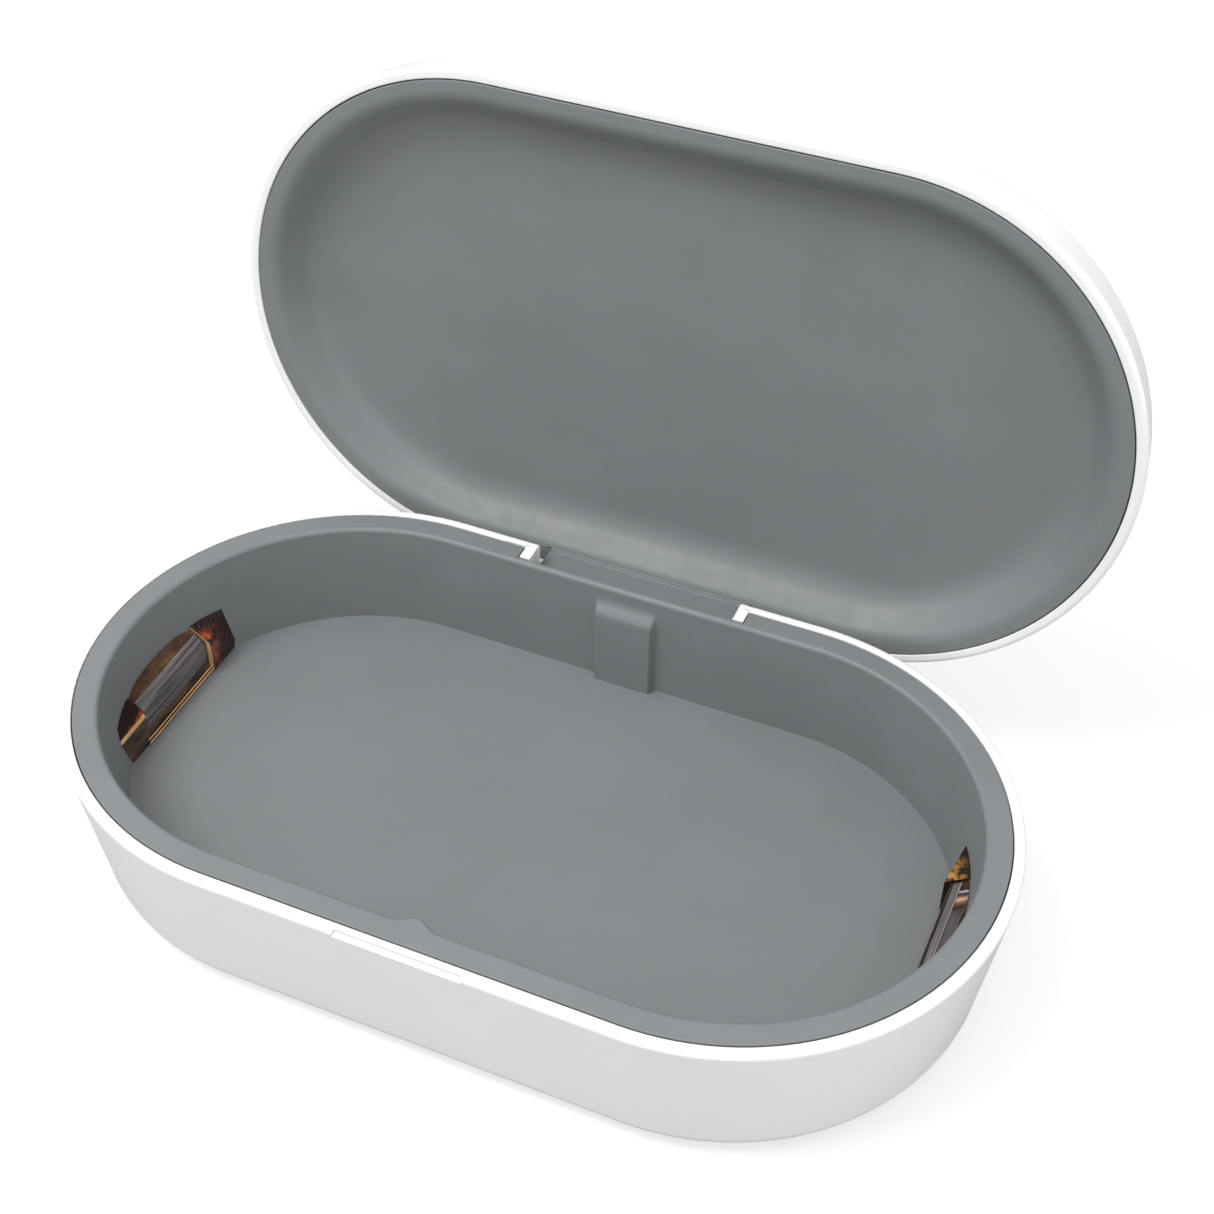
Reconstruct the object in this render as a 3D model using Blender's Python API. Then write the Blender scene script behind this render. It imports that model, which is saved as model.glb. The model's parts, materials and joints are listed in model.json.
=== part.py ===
"""Obround UV-C sanitizer box: a white tub and lid, grey liners, an amber lamp housing at each end.

Metres, +Z up, +X along the length, +Y towards the hinge. The origin is the centre of the tub's
flat underside. The lid is modelled closed and then turned open about the hinge axis.
"""

import math

import bmesh
import bpy
from mathutils import Matrix, Vector

MM = 0.001
GAP = 0.3 * MM

# Driving sizes of the obround plan: two half circles joined by straight sides.
STRAIGHT = 46.2 * MM
RIM_R = 62.0 * MM
LINER_R = 59.2 * MM
SHELL_INNER_R = 59.5 * MM
BASE_H = 38.0 * MM
TAPER = 0.1245
EDGE_R = 1.2 * MM
BASE_FILLET = 4.8 * MM
WALL = 2.3 * MM

# The tray that the phone or brush lies in.
CAVITY_TOP_R = 53.6 * MM
CAVITY_FLOOR_R = 50.6 * MM
CAVITY_D = 25.6 * MM
CREASE_R = 1.0 * MM
LINER_T = 1.6 * MM
TRAY_Z = BASE_H - CAVITY_D
FLANGE_T = 2.0 * MM
TRAY_FLOOR_T = 2.0 * MM

# Pads on the long walls: half width, how far they stand out, and their tops.
BACK_PAD = (8.0 * MM, 2.0 * MM, BASE_H - 4.3 * MM)
FRONT_PAD = (4.6 * MM, 2.1 * MM, BASE_H - 0.4 * MM)
PAD_ROUND = 1.3 * MM

# Lid.
LID_H = 15.0 * MM
LID_FILLET = 6.0 * MM
DISH_R = 55.0 * MM
DISH_FLAT_R = 42.0 * MM
DISH_D = 9.5 * MM
LID_RIM_Z = BASE_H + GAP

# Hinge.
HINGE_Y = 58.7 * MM
HINGE_Z = BASE_H - 8.5 * MM
OPEN_DEG = 96.4
BARREL_R = 3.2 * MM
SKIN_Y = 60.5 * MM
NOTCH_X = 26.0 * MM
EAR_T = 2.7 * MM
EAR_Y = 55.6 * MM
NOTCH_Z = 25.5 * MM
PIN_R = 1.0 * MM
PIN_HOLE_R = PIN_R + GAP
PIN_L = 14.6 * MM
PIN_CHAMFER = 0.25 * MM

# Lamp housings on the chord across each round end.
LAMP_X = 92.4 * MM
LAMP_HALF = 13.3 * MM
LAMP_LOW = TRAY_Z + GAP
LAMP_CREASE = 21.8 * MM
LAMP_TOP = 25.4 * MM
LAMP_WALL = 1.1 * MM
WINDOW_FOOT = 16.6 * MM
WINDOW_CROWN = (95.0 * MM, 23.9 * MM)
WINDOW_HALF = 12.6 * MM
WINDOW_T = 0.9 * MM
TUBE_X = 96.4 * MM
TUBE_Z = 20.5 * MM
TUBE_R = 1.8 * MM

# Feet and the screws under them.
FEET = [(x * 62 * MM, y * 40 * MM) for x in (-1, 1) for y in (-1, 1)]
FOOT_R = 5.0 * MM
FOOT_POCKET = 0.8 * MM
FOOT_PROUD = 1.2 * MM

# Driver board.
BOARD_Z = 5.2 * MM
BOARD_T = 1.6 * MM
BOARD_TOP = BOARD_Z + BOARD_T
PLUG_H = 2.6 * MM
BOARD_POSTS = [(x * 24 * MM, y * MM) for x in (-1, 1) for y in (26, 46)]

END_STEPS = 16

for old in list(bpy.data.objects):
    bpy.data.objects.remove(old, do_unlink=True)

hinge = bpy.data.objects.new("lid_hinge_axis", None)
hinge.location = (0, HINGE_Y, HINGE_Z)
bpy.context.scene.collection.objects.link(hinge)


# ---------------------------------------------------------------- helpers
def material(name, colour, roughness, metallic=0.0, alpha=1.0):
    made = bpy.data.materials.get(name) or bpy.data.materials.new(name)
    made.use_nodes = True
    shader = made.node_tree.nodes["Principled BSDF"]
    shader.inputs["Base Color"].default_value = (*colour, 1)
    shader.inputs["Roughness"].default_value = roughness
    shader.inputs["Metallic"].default_value = metallic
    shader.inputs["Alpha"].default_value = alpha
    return made


WHITE = material("white_gloss", (0.86, 0.86, 0.86), 0.25)
GREY = material("grey_matte", (0.18, 0.19, 0.20), 0.55)
AMBER = material("amber_clear", (0.45, 0.16, 0.03), 0.10, alpha=0.6)
QUARTZ = material("quartz", (0.85, 0.86, 0.88), 0.05, alpha=0.35)
STEEL = material("steel", (0.62, 0.62, 0.63), 0.35, 1.0)
ALUMINIUM = material("aluminium", (0.80, 0.80, 0.81), 0.20, 1.0)
RUBBER = material("rubber", (0.05, 0.05, 0.05), 0.80)
BOARD = material("board_green", (0.02, 0.16, 0.07), 0.45)
BLACK = material("black_plastic", (0.03, 0.03, 0.03), 0.40)
IVORY = material("ivory_plastic", (0.70, 0.66, 0.56), 0.45)
CABLE = material("cable_jacket", (0.60, 0.60, 0.60), 0.50)
MAGNET = material("nickel", (0.70, 0.68, 0.64), 0.25, 1.0)


def finish(name, bm, look, parent=None):
    """Makes the object from a bmesh whose faces are closed, and turns them outwards."""
    bmesh.ops.recalc_face_normals(bm, faces=bm.faces)
    mesh = bpy.data.meshes.new(name)
    bm.to_mesh(mesh)
    bm.free()
    mesh.shade_smooth()
    mesh.set_sharp_from_angle(angle=math.radians(35))
    made = bpy.data.objects.new(name, mesh)
    bpy.context.scene.collection.objects.link(made)
    if look is not None:
        mesh.materials.append(look)
    if parent is not None:
        made.parent = parent
        made.matrix_parent_inverse = Matrix.Translation(-Vector(hinge.location))
    return made


def as_tool(made):
    made.hide_render = True
    made.display_type = "WIRE"
    return made


def combine(target, tool, operation):
    step = target.modifiers.new(f"{operation.lower()}_{tool.name}", "BOOLEAN")
    step.operation = operation
    step.solver = "EXACT"
    step.object = as_tool(tool)


def obround(radius, z):
    """Points of the plan outline at one height, counter-clockwise from the right end's front."""
    points = []
    for side in (1, -1):
        for k in range(END_STEPS + 1):
            angle = math.pi * (k / END_STEPS - 0.5) + (0 if side > 0 else math.pi)
            points.append(
                (side * STRAIGHT + radius * math.cos(angle), radius * math.sin(angle), z)
            )
    return points


def loft(name, rings, look, parent=None):
    """Joins obround rings, given as (radius, z), and caps the first and the last."""
    bm = bmesh.new()
    loops = [[bm.verts.new(p) for p in obround(r, z)] for r, z in rings]
    for low, high in zip(loops, loops[1:]):
        for k, v in enumerate(low):
            n = (k + 1) % len(low)
            bm.faces.new((v, low[n], high[n], high[k]))
    bm.faces.new(loops[0])
    bm.faces.new(loops[-1])
    return finish(name, bm, look, parent)


def box(name, low, high, look, bevel=0.0, segments=2, parent=None):
    bm = bmesh.new()
    bmesh.ops.create_cube(bm, size=1.0)
    size = Vector(high) - Vector(low)
    bmesh.ops.scale(bm, vec=size, verts=bm.verts)
    bmesh.ops.translate(bm, vec=(Vector(high) + Vector(low)) / 2, verts=bm.verts)
    if bevel:
        bmesh.ops.bevel(
            bm,
            geom=list(bm.edges),
            offset=bevel,
            segments=segments,
            profile=0.5,
            affect="EDGES",
        )
    return finish(name, bm, look, parent)


def lathe(name, profile, centre, axis, look, steps=24, parent=None):
    """Turns a profile of (radius, height) pairs about an axis through centre; ends on the axis."""
    bm = bmesh.new()
    turn = Vector((0, 0, 1)).rotation_difference(Vector(axis)).to_matrix().to_4x4()
    place = Matrix.Translation(Vector(centre)) @ turn
    rings = []
    for radius, height in profile:
        if radius == 0:
            rings.append([bm.verts.new((0, 0, height))])
            continue
        rings.append(
            [
                bm.verts.new(
                    (
                        radius * math.cos(2 * math.pi * k / steps),
                        radius * math.sin(2 * math.pi * k / steps),
                        height,
                    )
                )
                for k in range(steps)
            ]
        )
    for low, high in zip(rings, rings[1:]):
        for k in range(steps):
            n = (k + 1) % steps
            corners = [low[k % len(low)], low[n % len(low)], high[n % len(high)], high[k % len(high)]]
            kept = list(dict.fromkeys(corners))
            if len(kept) > 2:
                bm.faces.new(kept)
    bmesh.ops.transform(bm, matrix=place, verts=bm.verts)
    return finish(name, bm, look, parent)


def cylinder(name, radius, length, centre, axis, look, steps=24, parent=None):
    """A plain round bar whose middle is at centre."""
    profile = [(0, -length / 2), (radius, -length / 2), (radius, length / 2), (0, length / 2)]
    return lathe(name, profile, centre, axis, look, steps, parent)


def prism(name, section, y_low, y_high, look, parent=None):
    """Extrudes an (x, z) section from y_low to y_high."""
    bm = bmesh.new()
    near = [bm.verts.new((x, y_low, z)) for x, z in section]
    far = [bm.verts.new((x, y_high, z)) for x, z in section]
    bm.faces.new(near)
    bm.faces.new(far)
    for k in range(len(section)):
        n = (k + 1) % len(section)
        bm.faces.new((near[k], near[n], far[n], far[k]))
    return finish(name, bm, look, parent)


def hull(name, points, look):
    bm = bmesh.new()
    for p in points:
        bm.verts.new(p)
    made = bmesh.ops.convex_hull(bm, input=bm.verts)
    spare = [g for g in made["geom_interior"] if isinstance(g, bmesh.types.BMVert)]
    bmesh.ops.delete(bm, geom=spare, context="VERTS")
    return finish(name, bm, look)


def arc(centre, radius, start, end, steps):
    """(r, z) points on an arc, angles in degrees from the +r axis."""
    found = []
    for k in range(steps + 1):
        angle = math.radians(start + (end - start) * k / steps)
        found.append((centre[0] + radius * math.cos(angle), centre[1] + radius * math.sin(angle)))
    return found


def cable(name, route, radius, look):
    """A lead along a smooth curve through the route, with filled ends."""
    curve = bpy.data.curves.new(name, "CURVE")
    curve.dimensions = "3D"
    curve.bevel_depth = radius
    curve.bevel_resolution = 1
    curve.use_fill_caps = True
    points = smooth(route, 4)
    spline = curve.splines.new("POLY")
    spline.points.add(len(points) - 1)
    for point, place in zip(spline.points, points):
        point.co = (*place, 1)
    made = bpy.data.objects.new(name, curve)
    bpy.context.scene.collection.objects.link(made)
    curve.materials.append(look)
    return made


def smooth(route, steps):
    """Catmull-Rom points through the route."""
    pts = [Vector(p) * MM for p in route]
    pts = [2 * pts[0] - pts[1], *pts, 2 * pts[-1] - pts[-2]]
    found = []
    for a, b, c, d in zip(pts, pts[1:], pts[2:], pts[3:]):
        for k in range(steps):
            t = k / steps
            found.append(
                0.5
                * (
                    2 * b
                    + (c - a) * t
                    + (2 * a - 5 * b + 4 * c - d) * t * t
                    + (3 * b - a - 3 * c + d) * t**3
                )
            )
    return [*found, pts[-2]]


# ---------------------------------------------------------------- tub and tray
def make_base_shell():
    """White tub: outer skin up, over the rim, and down inside; then hinge notch, ears and holes."""
    foot_r = RIM_R - TAPER * (BASE_H - EDGE_R - BASE_FILLET)
    outer = arc((foot_r - BASE_FILLET, BASE_FILLET), BASE_FILLET, -90, 0, 5)
    rim = arc((RIM_R - EDGE_R, BASE_H - EDGE_R), EDGE_R, 0, 90, 3)
    inner = [
        (SHELL_INNER_R, BASE_H),
        (SHELL_INNER_R - 0.15 * MM, BASE_H - 3.5 * MM),
        *arc((foot_r - BASE_FILLET, BASE_FILLET), BASE_FILLET - WALL, 0, -90, 3),
    ]
    shell = loft("base_shell", [*outer, *rim, *inner], WHITE)

    notch_floor = box(
        "notch_floor_tool",
        (-NOTCH_X - EAR_T, 54.7 * MM, NOTCH_Z - 2.0 * MM),
        (NOTCH_X + EAR_T, 60.2 * MM, NOTCH_Z),
        None,
    )
    combine(shell, notch_floor, "UNION")
    for side in (-1, 1):
        near, far = sorted((side * NOTCH_X, side * (NOTCH_X + EAR_T)))
        ear = box(
            f"ear_tool_{side}",
            (near, EAR_Y, NOTCH_Z - 1.6 * MM),
            (far, 60.4 * MM, BASE_H - 0.02 * MM),
            None,
        )
        combine(shell, ear, "UNION")
    notch = box(
        "notch_tool",
        (-NOTCH_X, 50 * MM, NOTCH_Z + 0.01 * MM),
        (NOTCH_X, 70 * MM, BASE_H + 5 * MM),
        None,
    )
    combine(shell, notch, "DIFFERENCE")
    bore = cylinder(
        "hinge_bore_tool", PIN_HOLE_R, 62 * MM, (0, HINGE_Y, HINGE_Z), (1, 0, 0), None, 16
    )
    combine(shell, bore, "DIFFERENCE")
    finger = box(
        "finger_notch_tool",
        (-14.2 * MM, -70 * MM, BASE_H - 0.9 * MM),
        (14.2 * MM, -61.0 * MM, BASE_H + 2 * MM),
        None,
    )
    combine(shell, finger, "DIFFERENCE")
    port = box(
        "port_tool",
        (-4.8 * MM, 50 * MM, 6.8 * MM),
        (4.8 * MM, 65 * MM, 10.4 * MM),
        None,
        1.7 * MM,
        3,
    )
    combine(shell, port, "DIFFERENCE")

    for k, (x, y) in enumerate(FEET):
        boss = cylinder(
            f"shell_boss_tool_{k}", 4.2 * MM, 4.3 * MM, (x, y, 3.85 * MM), (0, 0, 1), None, 16
        )
        combine(shell, boss, "UNION")
        well = [
            (0, -1 * MM),
            (FOOT_R + GAP, -1 * MM),
            (FOOT_R + GAP, FOOT_POCKET),
            (2.7 * MM, FOOT_POCKET),
            (2.7 * MM, 3.2 * MM),
            (1.6 * MM, 3.2 * MM),
            (1.6 * MM, 7 * MM),
            (0, 7 * MM),
        ]
        combine(shell, lathe(f"foot_well_tool_{k}", well, (x, y, 0), (0, 0, 1), None, 16), "DIFFERENCE")
    for k, (x, y) in enumerate(BOARD_POSTS):
        post = cylinder(
            f"post_tool_{k}", 2.4 * MM, 3.4 * MM, (x, y, 3.2 * MM), (0, 0, 1), None, 12
        )
        combine(shell, post, "UNION")
        pilot = cylinder(
            f"post_pilot_tool_{k}", 1.1 * MM, 3.4 * MM, (x, y, 3.8 * MM), (0, 0, 1), None, 8
        )
        combine(shell, pilot, "DIFFERENCE")
    return shell


def wall_pad(name, side, half, proud, top, bevel):
    """A raised pad on the tray's long wall, with its face parallel to the sloping wall."""
    def wall_y(z):
        share = (z - TRAY_Z) / CAVITY_D
        return CAVITY_FLOOR_R + (CAVITY_TOP_R - CAVITY_FLOOR_R) * share

    bm = bmesh.new()
    corners = []
    for z in (TRAY_Z - 1.0 * MM, top):
        for depth in (-proud, 1.0 * MM):
            for x in (-half, half):
                corners.append(bm.verts.new((x, side * (wall_y(z) + depth), z)))
    a, b, c, d, e, f, g, h = corners
    for face in ((a, b, d, c), (e, f, h, g), (a, b, f, e), (c, d, h, g), (a, c, g, e), (b, d, h, f)):
        bm.faces.new(face)
    bmesh.ops.recalc_face_normals(bm, faces=bm.faces)
    inward = [
        edge
        for edge in bm.edges
        if all(v in (a, b, e, f) for v in edge.verts) and not all(v in (a, b) for v in edge.verts)
    ]
    bmesh.ops.bevel(bm, geom=inward, offset=bevel, segments=3, profile=0.5, affect="EDGES")
    return finish(name, bm, None)


def make_base_liner():
    """Grey tray: underside, outer wall, flange, rim and inside as one closed skin."""
    crease = arc((CAVITY_FLOOR_R - CREASE_R, TRAY_Z + CREASE_R), CREASE_R, -2, -90, 4)
    rings = [
        (48.5 * MM, TRAY_Z - TRAY_FLOOR_T),
        (50.6 * MM, TRAY_Z - 1.4 * MM),
        (51.9 * MM, TRAY_Z + 0.6 * MM),
        (CAVITY_TOP_R + LINER_T - 0.1 * MM, BASE_H - FLANGE_T),
        (LINER_R, BASE_H - FLANGE_T),
        (LINER_R, BASE_H - 0.25 * MM),
        (LINER_R - 0.25 * MM, BASE_H),
        (CAVITY_TOP_R + 1.1 * MM, BASE_H),
        (CAVITY_TOP_R + 0.5 * MM, BASE_H - 0.2 * MM),
        (CAVITY_TOP_R + 0.1 * MM, BASE_H - 0.7 * MM),
        (CAVITY_TOP_R - 0.1 * MM, BASE_H - 1.4 * MM),
        *crease,
    ]
    liner = loft("base_liner", rings, GREY)
    clearance = box(
        "flange_notch_tool",
        (-NOTCH_X - EAR_T - GAP, 55.2 * MM, NOTCH_Z - 6 * MM),
        (NOTCH_X + EAR_T + GAP, 70 * MM, BASE_H + 2 * MM),
        None,
    )
    combine(liner, clearance, "DIFFERENCE")
    combine(liner, wall_pad("back_pad_tool", 1, *BACK_PAD, PAD_ROUND), "UNION")
    combine(liner, wall_pad("front_pad_tool", -1, *FRONT_PAD, PAD_ROUND), "UNION")
    pocket = box(
        "sensor_pocket_tool",
        (-6 * MM, 51.6 * MM, 15.5 * MM),
        (6 * MM, 60 * MM, 27.5 * MM),
        None,
    )
    combine(liner, pocket, "DIFFERENCE")
    for side in (-1, 1):
        near, far = sorted((side * 89 * MM, side * 101 * MM))
        opening = box(
            f"lamp_opening_tool_{side}",
            (near, -15.6 * MM, 16.0 * MM),
            (far, 15.6 * MM, 24.4 * MM),
            None,
        )
        combine(liner, opening, "DIFFERENCE")
    for k, (x, y) in enumerate(FEET):
        boss = cylinder(
            f"liner_boss_tool_{k}", 3.4 * MM, 5.0 * MM, (x, y, 8.8 * MM), (0, 0, 1), None, 14
        )
        combine(liner, boss, "UNION")
        pilot = cylinder(
            f"liner_pilot_tool_{k}", 1.3 * MM, 6.0 * MM, (x, y, 7.6 * MM), (0, 0, 1), None, 10
        )
        combine(liner, pilot, "DIFFERENCE")
    return liner


# ---------------------------------------------------------------- lid
def make_lid_shell():
    """White lid, modelled closed: top, outer side, rim and inside."""
    z = LID_RIM_Z
    side_r = RIM_R - TAPER * (LID_H - EDGE_R - LID_FILLET)
    centre = (side_r - LID_FILLET, z + LID_H - LID_FILLET)
    rings = [
        *arc(centre, LID_FILLET, 90, 0, 6),
        *arc((RIM_R - EDGE_R, z + EDGE_R), EDGE_R, 0, -90, 3),
        (SHELL_INNER_R, z),
        (SHELL_INNER_R - 0.1 * MM, z + 3.5 * MM),
        *arc(centre, LID_FILLET - WALL, 0, 90, 4),
    ]
    shell = loft("lid_shell", rings, WHITE, hinge)
    skin = box(
        "hinge_skin_tool",
        (-NOTCH_X + 0.4 * MM, SKIN_Y, HINGE_Z + GAP),
        (NOTCH_X - 0.4 * MM, HINGE_Y + BARREL_R, z + 2.0 * MM),
        None,
        parent=hinge,
    )
    combine(shell, skin, "UNION")
    return shell


def make_lid_liner():
    """Grey dish inside the lid with the hinge barrel on its back edge."""
    z = LID_RIM_Z
    hidden = []
    for k in range(6):
        angle = math.radians(90 - (90 - 10.4) * k / 5)
        hidden.append(
            (
                DISH_FLAT_R + (DISH_R - DISH_FLAT_R + LINER_T) * math.cos(angle),
                z + (DISH_D + LINER_T) * math.sin(angle),
            )
        )
    dish = []
    for k in range(8):
        angle = math.radians(10 + 80 * k / 7)
        dish.append(
            (
                DISH_FLAT_R + (DISH_R - DISH_FLAT_R) * math.cos(angle),
                z + DISH_D * math.sin(angle),
            )
        )
    rings = [
        *hidden,
        (LINER_R, z + FLANGE_T),
        (LINER_R, z + 0.25 * MM),
        (LINER_R - 0.25 * MM, z),
        (DISH_R + 0.8 * MM, z),
        (DISH_R + 0.3 * MM, z + 0.2 * MM),
        (DISH_R, z + 0.7 * MM),
        *dish,
    ]
    liner = loft("lid_liner", rings, GREY, hinge)
    half = NOTCH_X - 0.4 * MM
    web = box(
        "web_tool",
        (-half, HINGE_Y - BARREL_R, HINGE_Z),
        (half, LINER_R, z + 1.0 * MM),
        None,
        parent=hinge,
    )
    trim = box(
        "rim_trim_tool",
        (-half - GAP, SKIN_Y - 0.2 * MM, HINGE_Z),
        (half + GAP, 65 * MM, LID_RIM_Z),
        None,
        parent=hinge,
    )
    barrel = cylinder(
        "barrel_tool", BARREL_R, 2 * half, (0, HINGE_Y, HINGE_Z), (1, 0, 0), None, 24, hinge
    )
    combine(liner, web, "UNION")
    combine(liner, barrel, "UNION")
    combine(liner, trim, "DIFFERENCE")
    for side in (-1, 1):
        bore = cylinder(
            f"barrel_bore_tool_{side}",
            PIN_HOLE_R,
            13 * MM,
            (side * (half - 6.0 * MM), HINGE_Y, HINGE_Z),
            (1, 0, 0),
            None,
            16,
            hinge,
        )
        combine(liner, bore, "DIFFERENCE")
    nest = cylinder(
        "sensor_magnet_nest_tool",
        1.8 * MM,
        4.0 * MM,
        (0, HINGE_Y, HINGE_Z - BARREL_R),
        (0, 0, 1),
        None,
        16,
        hinge,
    )
    combine(liner, nest, "DIFFERENCE")
    return liner


def make_hinge_pins():
    profile = [
        (0, 0),
        (PIN_R - PIN_CHAMFER, 0),
        (PIN_R, PIN_CHAMFER),
        (PIN_R, PIN_L - PIN_CHAMFER),
        (PIN_R - PIN_CHAMFER, PIN_L),
        (0, PIN_L),
    ]
    for side, name in ((-1, "hinge_pin_left"), (1, "hinge_pin_right")):
        start = side * (NOTCH_X + EAR_T - PIN_L)
        lathe(name, profile, (start, HINGE_Y, HINGE_Z), (side, 0, 0), STEEL, 12)


def make_magnets():
    """Closing magnets under the two front flanges, and the lid sensor's magnet in the barrel."""
    box(
        "closing_magnet_base",
        (-6 * MM, -58.9 * MM, 33.4 * MM),
        (6 * MM, -55.9 * MM, 35.6 * MM),
        MAGNET,
        0.3 * MM,
        1,
    )
    box(
        "closing_magnet_lid",
        (-6 * MM, -58.9 * MM, LID_RIM_Z + 2.4 * MM),
        (6 * MM, -57.0 * MM, LID_RIM_Z + 6.0 * MM),
        MAGNET,
        0.3 * MM,
        1,
        hinge,
    )
    cylinder(
        "sensor_magnet",
        1.5 * MM,
        1.3 * MM,
        (0, HINGE_Y, HINGE_Z - BARREL_R + 0.95 * MM),
        (0, 0, 1),
        MAGNET,
        16,
        hinge,
    )


# ---------------------------------------------------------------- lamps
def lamp_corners(grow):
    """Corners of one faceted housing, right-hand end; grow moves the room side inwards."""
    crease = LAMP_CREASE - 0.4 * grow
    top = LAMP_TOP - 0.8 * grow
    end_top = top - 0.4 * MM
    points = []
    for side in (-1, 1):
        points += [
            (LAMP_X + grow, side * LAMP_HALF, LAMP_LOW),
            (LAMP_X + 0.15 * MM + grow, side * LAMP_HALF, crease),
            (97.5 * MM, side * 12.0 * MM, top),
            (91.4 * MM + grow, side * (25.0 * MM - 0.7 * grow), LAMP_LOW),
            (91.7 * MM + grow, side * (25.6 * MM - 0.7 * grow), crease - 0.3 * MM),
            (93.6 * MM, side * (22.6 * MM - 0.7 * grow), end_top),
            (101 * MM, side * 12.0 * MM, top),
            (101 * MM, side * (22 * MM - 0.7 * grow), LAMP_LOW),
            (101 * MM, side * (22 * MM - 0.7 * grow), end_top),
        ]
    return points


def mirrored(points, side):
    return [(side * x, y, z) for x, y, z in points]


def make_lamp(side, label):
    cover = hull(f"lamp_cover_{label}", mirrored(lamp_corners(0), side), AMBER)
    room = loft(
        f"cover_room_tool_{label}",
        [
            *arc((CAVITY_FLOOR_R - CREASE_R, TRAY_Z + CREASE_R), CREASE_R - GAP, -90, -2, 4),
            (CAVITY_TOP_R - 0.1 * MM - GAP, BASE_H),
        ],
        None,
    )
    combine(cover, room, "INTERSECT")
    hollow = hull(f"cover_hollow_tool_{label}", mirrored(lamp_corners(LAMP_WALL), side), None)
    shift = Matrix.Translation((0, 0, -0.5 * MM))
    hollow.data.transform(shift)
    combine(cover, hollow, "DIFFERENCE")

    foot, knee, t = WINDOW_FOOT, LAMP_CREASE, WINDOW_T
    crown_x, crown = WINDOW_CROWN
    pane = [
        (LAMP_X, foot),
        (LAMP_X + 0.15 * MM, knee),
        (crown_x, crown),
        (crown_x + t * 0.65, crown - t * 0.75),
        (LAMP_X + 0.15 * MM + t, knee - t * 0.4),
        (LAMP_X + t, foot),
    ]
    aperture = [
        (LAMP_X - 3 * MM, foot - GAP),
        (LAMP_X - 3 * MM, crown + 3 * MM),
        (crown_x - 1.75 * MM, crown + 2.25 * MM),
        (crown_x + 2.25 * MM, crown - 1.75 * MM),
        (LAMP_X + 3 * MM, foot - GAP),
    ]
    cut = prism(
        f"aperture_tool_{label}",
        [(side * x, z) for x, z in aperture],
        -WINDOW_HALF - GAP,
        WINDOW_HALF + GAP,
        None,
    )
    combine(cover, cut, "DIFFERENCE")
    section = [(side * x, z) for x, z in pane]
    prism(f"lamp_window_{label}", section, -WINDOW_HALF, WINDOW_HALF, QUARTZ)

    end = TUBE_R
    tube = [
        *[
            (end * math.sin(math.radians(a)), -14.4 * MM - end * math.cos(math.radians(a)) + end)
            for a in (0, 30, 60, 90)
        ],
        *[
            (end * math.sin(math.radians(a)), 14.4 * MM - end * math.cos(math.radians(a)) - end)
            for a in (90, 120, 150, 180)
        ],
    ]
    tube[0] = (0, tube[0][1])
    tube[-1] = (0, tube[-1][1])
    lathe(f"uvc_tube_{label}", tube, (side * TUBE_X, 0, TUBE_Z), (0, 1, 0), QUARTZ, 16)

    outer = arc((TUBE_X, TUBE_Z), 2.75 * MM, -80, 80, 10)
    inner = arc((TUBE_X, TUBE_Z), 2.4 * MM, 80, -80, 10)
    prism(
        f"lamp_reflector_{label}",
        [(side * x, z) for x, z in [*outer, *inner]],
        -12.4 * MM,
        12.4 * MM,
        ALUMINIUM,
    )
    for place, word in ((-1, "front"), (1, "back")):
        near, far = sorted((side * 94.1 * MM, side * 99.8 * MM))
        low, high = sorted((place * 12.9 * MM, place * 15.3 * MM))
        grommet = box(
            f"tube_grommet_{label}_{word}",
            (near, low, 17.9 * MM),
            (far, high, 23.0 * MM),
            RUBBER,
            0.3 * MM,
            1,
        )
        hole = cylinder(
            f"grommet_hole_tool_{label}_{word}",
            TUBE_R + GAP,
            2.6 * MM,
            (side * TUBE_X, place * 13.4 * MM, TUBE_Z),
            (0, 1, 0),
            None,
            16,
        )
        combine(grommet, hole, "DIFFERENCE")


# ---------------------------------------------------------------- feet, screws, electronics
def screw(name, head_r, head_h, shank_r, length, centre, axis, look):
    """Pan-head screw: the head's top at centre, the shank along axis, with a cross recess."""
    profile = [
        (0, 0),
        (head_r * 0.75, 0),
        (head_r, head_h * 0.45),
        (head_r, head_h),
        (shank_r, head_h),
        (shank_r, length - shank_r),
        (0, length),
    ]
    made = lathe(name, profile, centre, axis, look, 12)
    slot = head_r * 0.62
    for k, (dx, dy) in enumerate(((slot, slot * 0.22), (slot * 0.22, slot))):
        x, y, z = centre
        depth = head_h * 0.55
        low, high = (x - dx, y - dy, z - depth), (x + dx, y + dy, z + depth)
        tool = box(f"{name}_recess_tool_{k}", low, high, None)
        combine(made, tool, "DIFFERENCE")
    return made


def make_feet_and_screws():
    words = ("left_front", "left_back", "right_front", "right_back")
    for word, (x, y) in zip(words, FEET):
        profile = [
            (0, -FOOT_PROUD),
            (FOOT_R - 0.5 * MM, -FOOT_PROUD),
            (FOOT_R, -FOOT_PROUD + 0.5 * MM),
            (FOOT_R, FOOT_POCKET - GAP),
            (0, FOOT_POCKET - GAP),
        ]
        lathe(f"foot_{word}", profile, (x, y, 0), (0, 0, 1), RUBBER, 20)
        screw(
            f"case_screw_{word}",
            2.4 * MM,
            1.7 * MM,
            1.0 * MM,
            8.6 * MM,
            (x, y, 1.2 * MM),
            (0, 0, 1),
            STEEL,
        )


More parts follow.
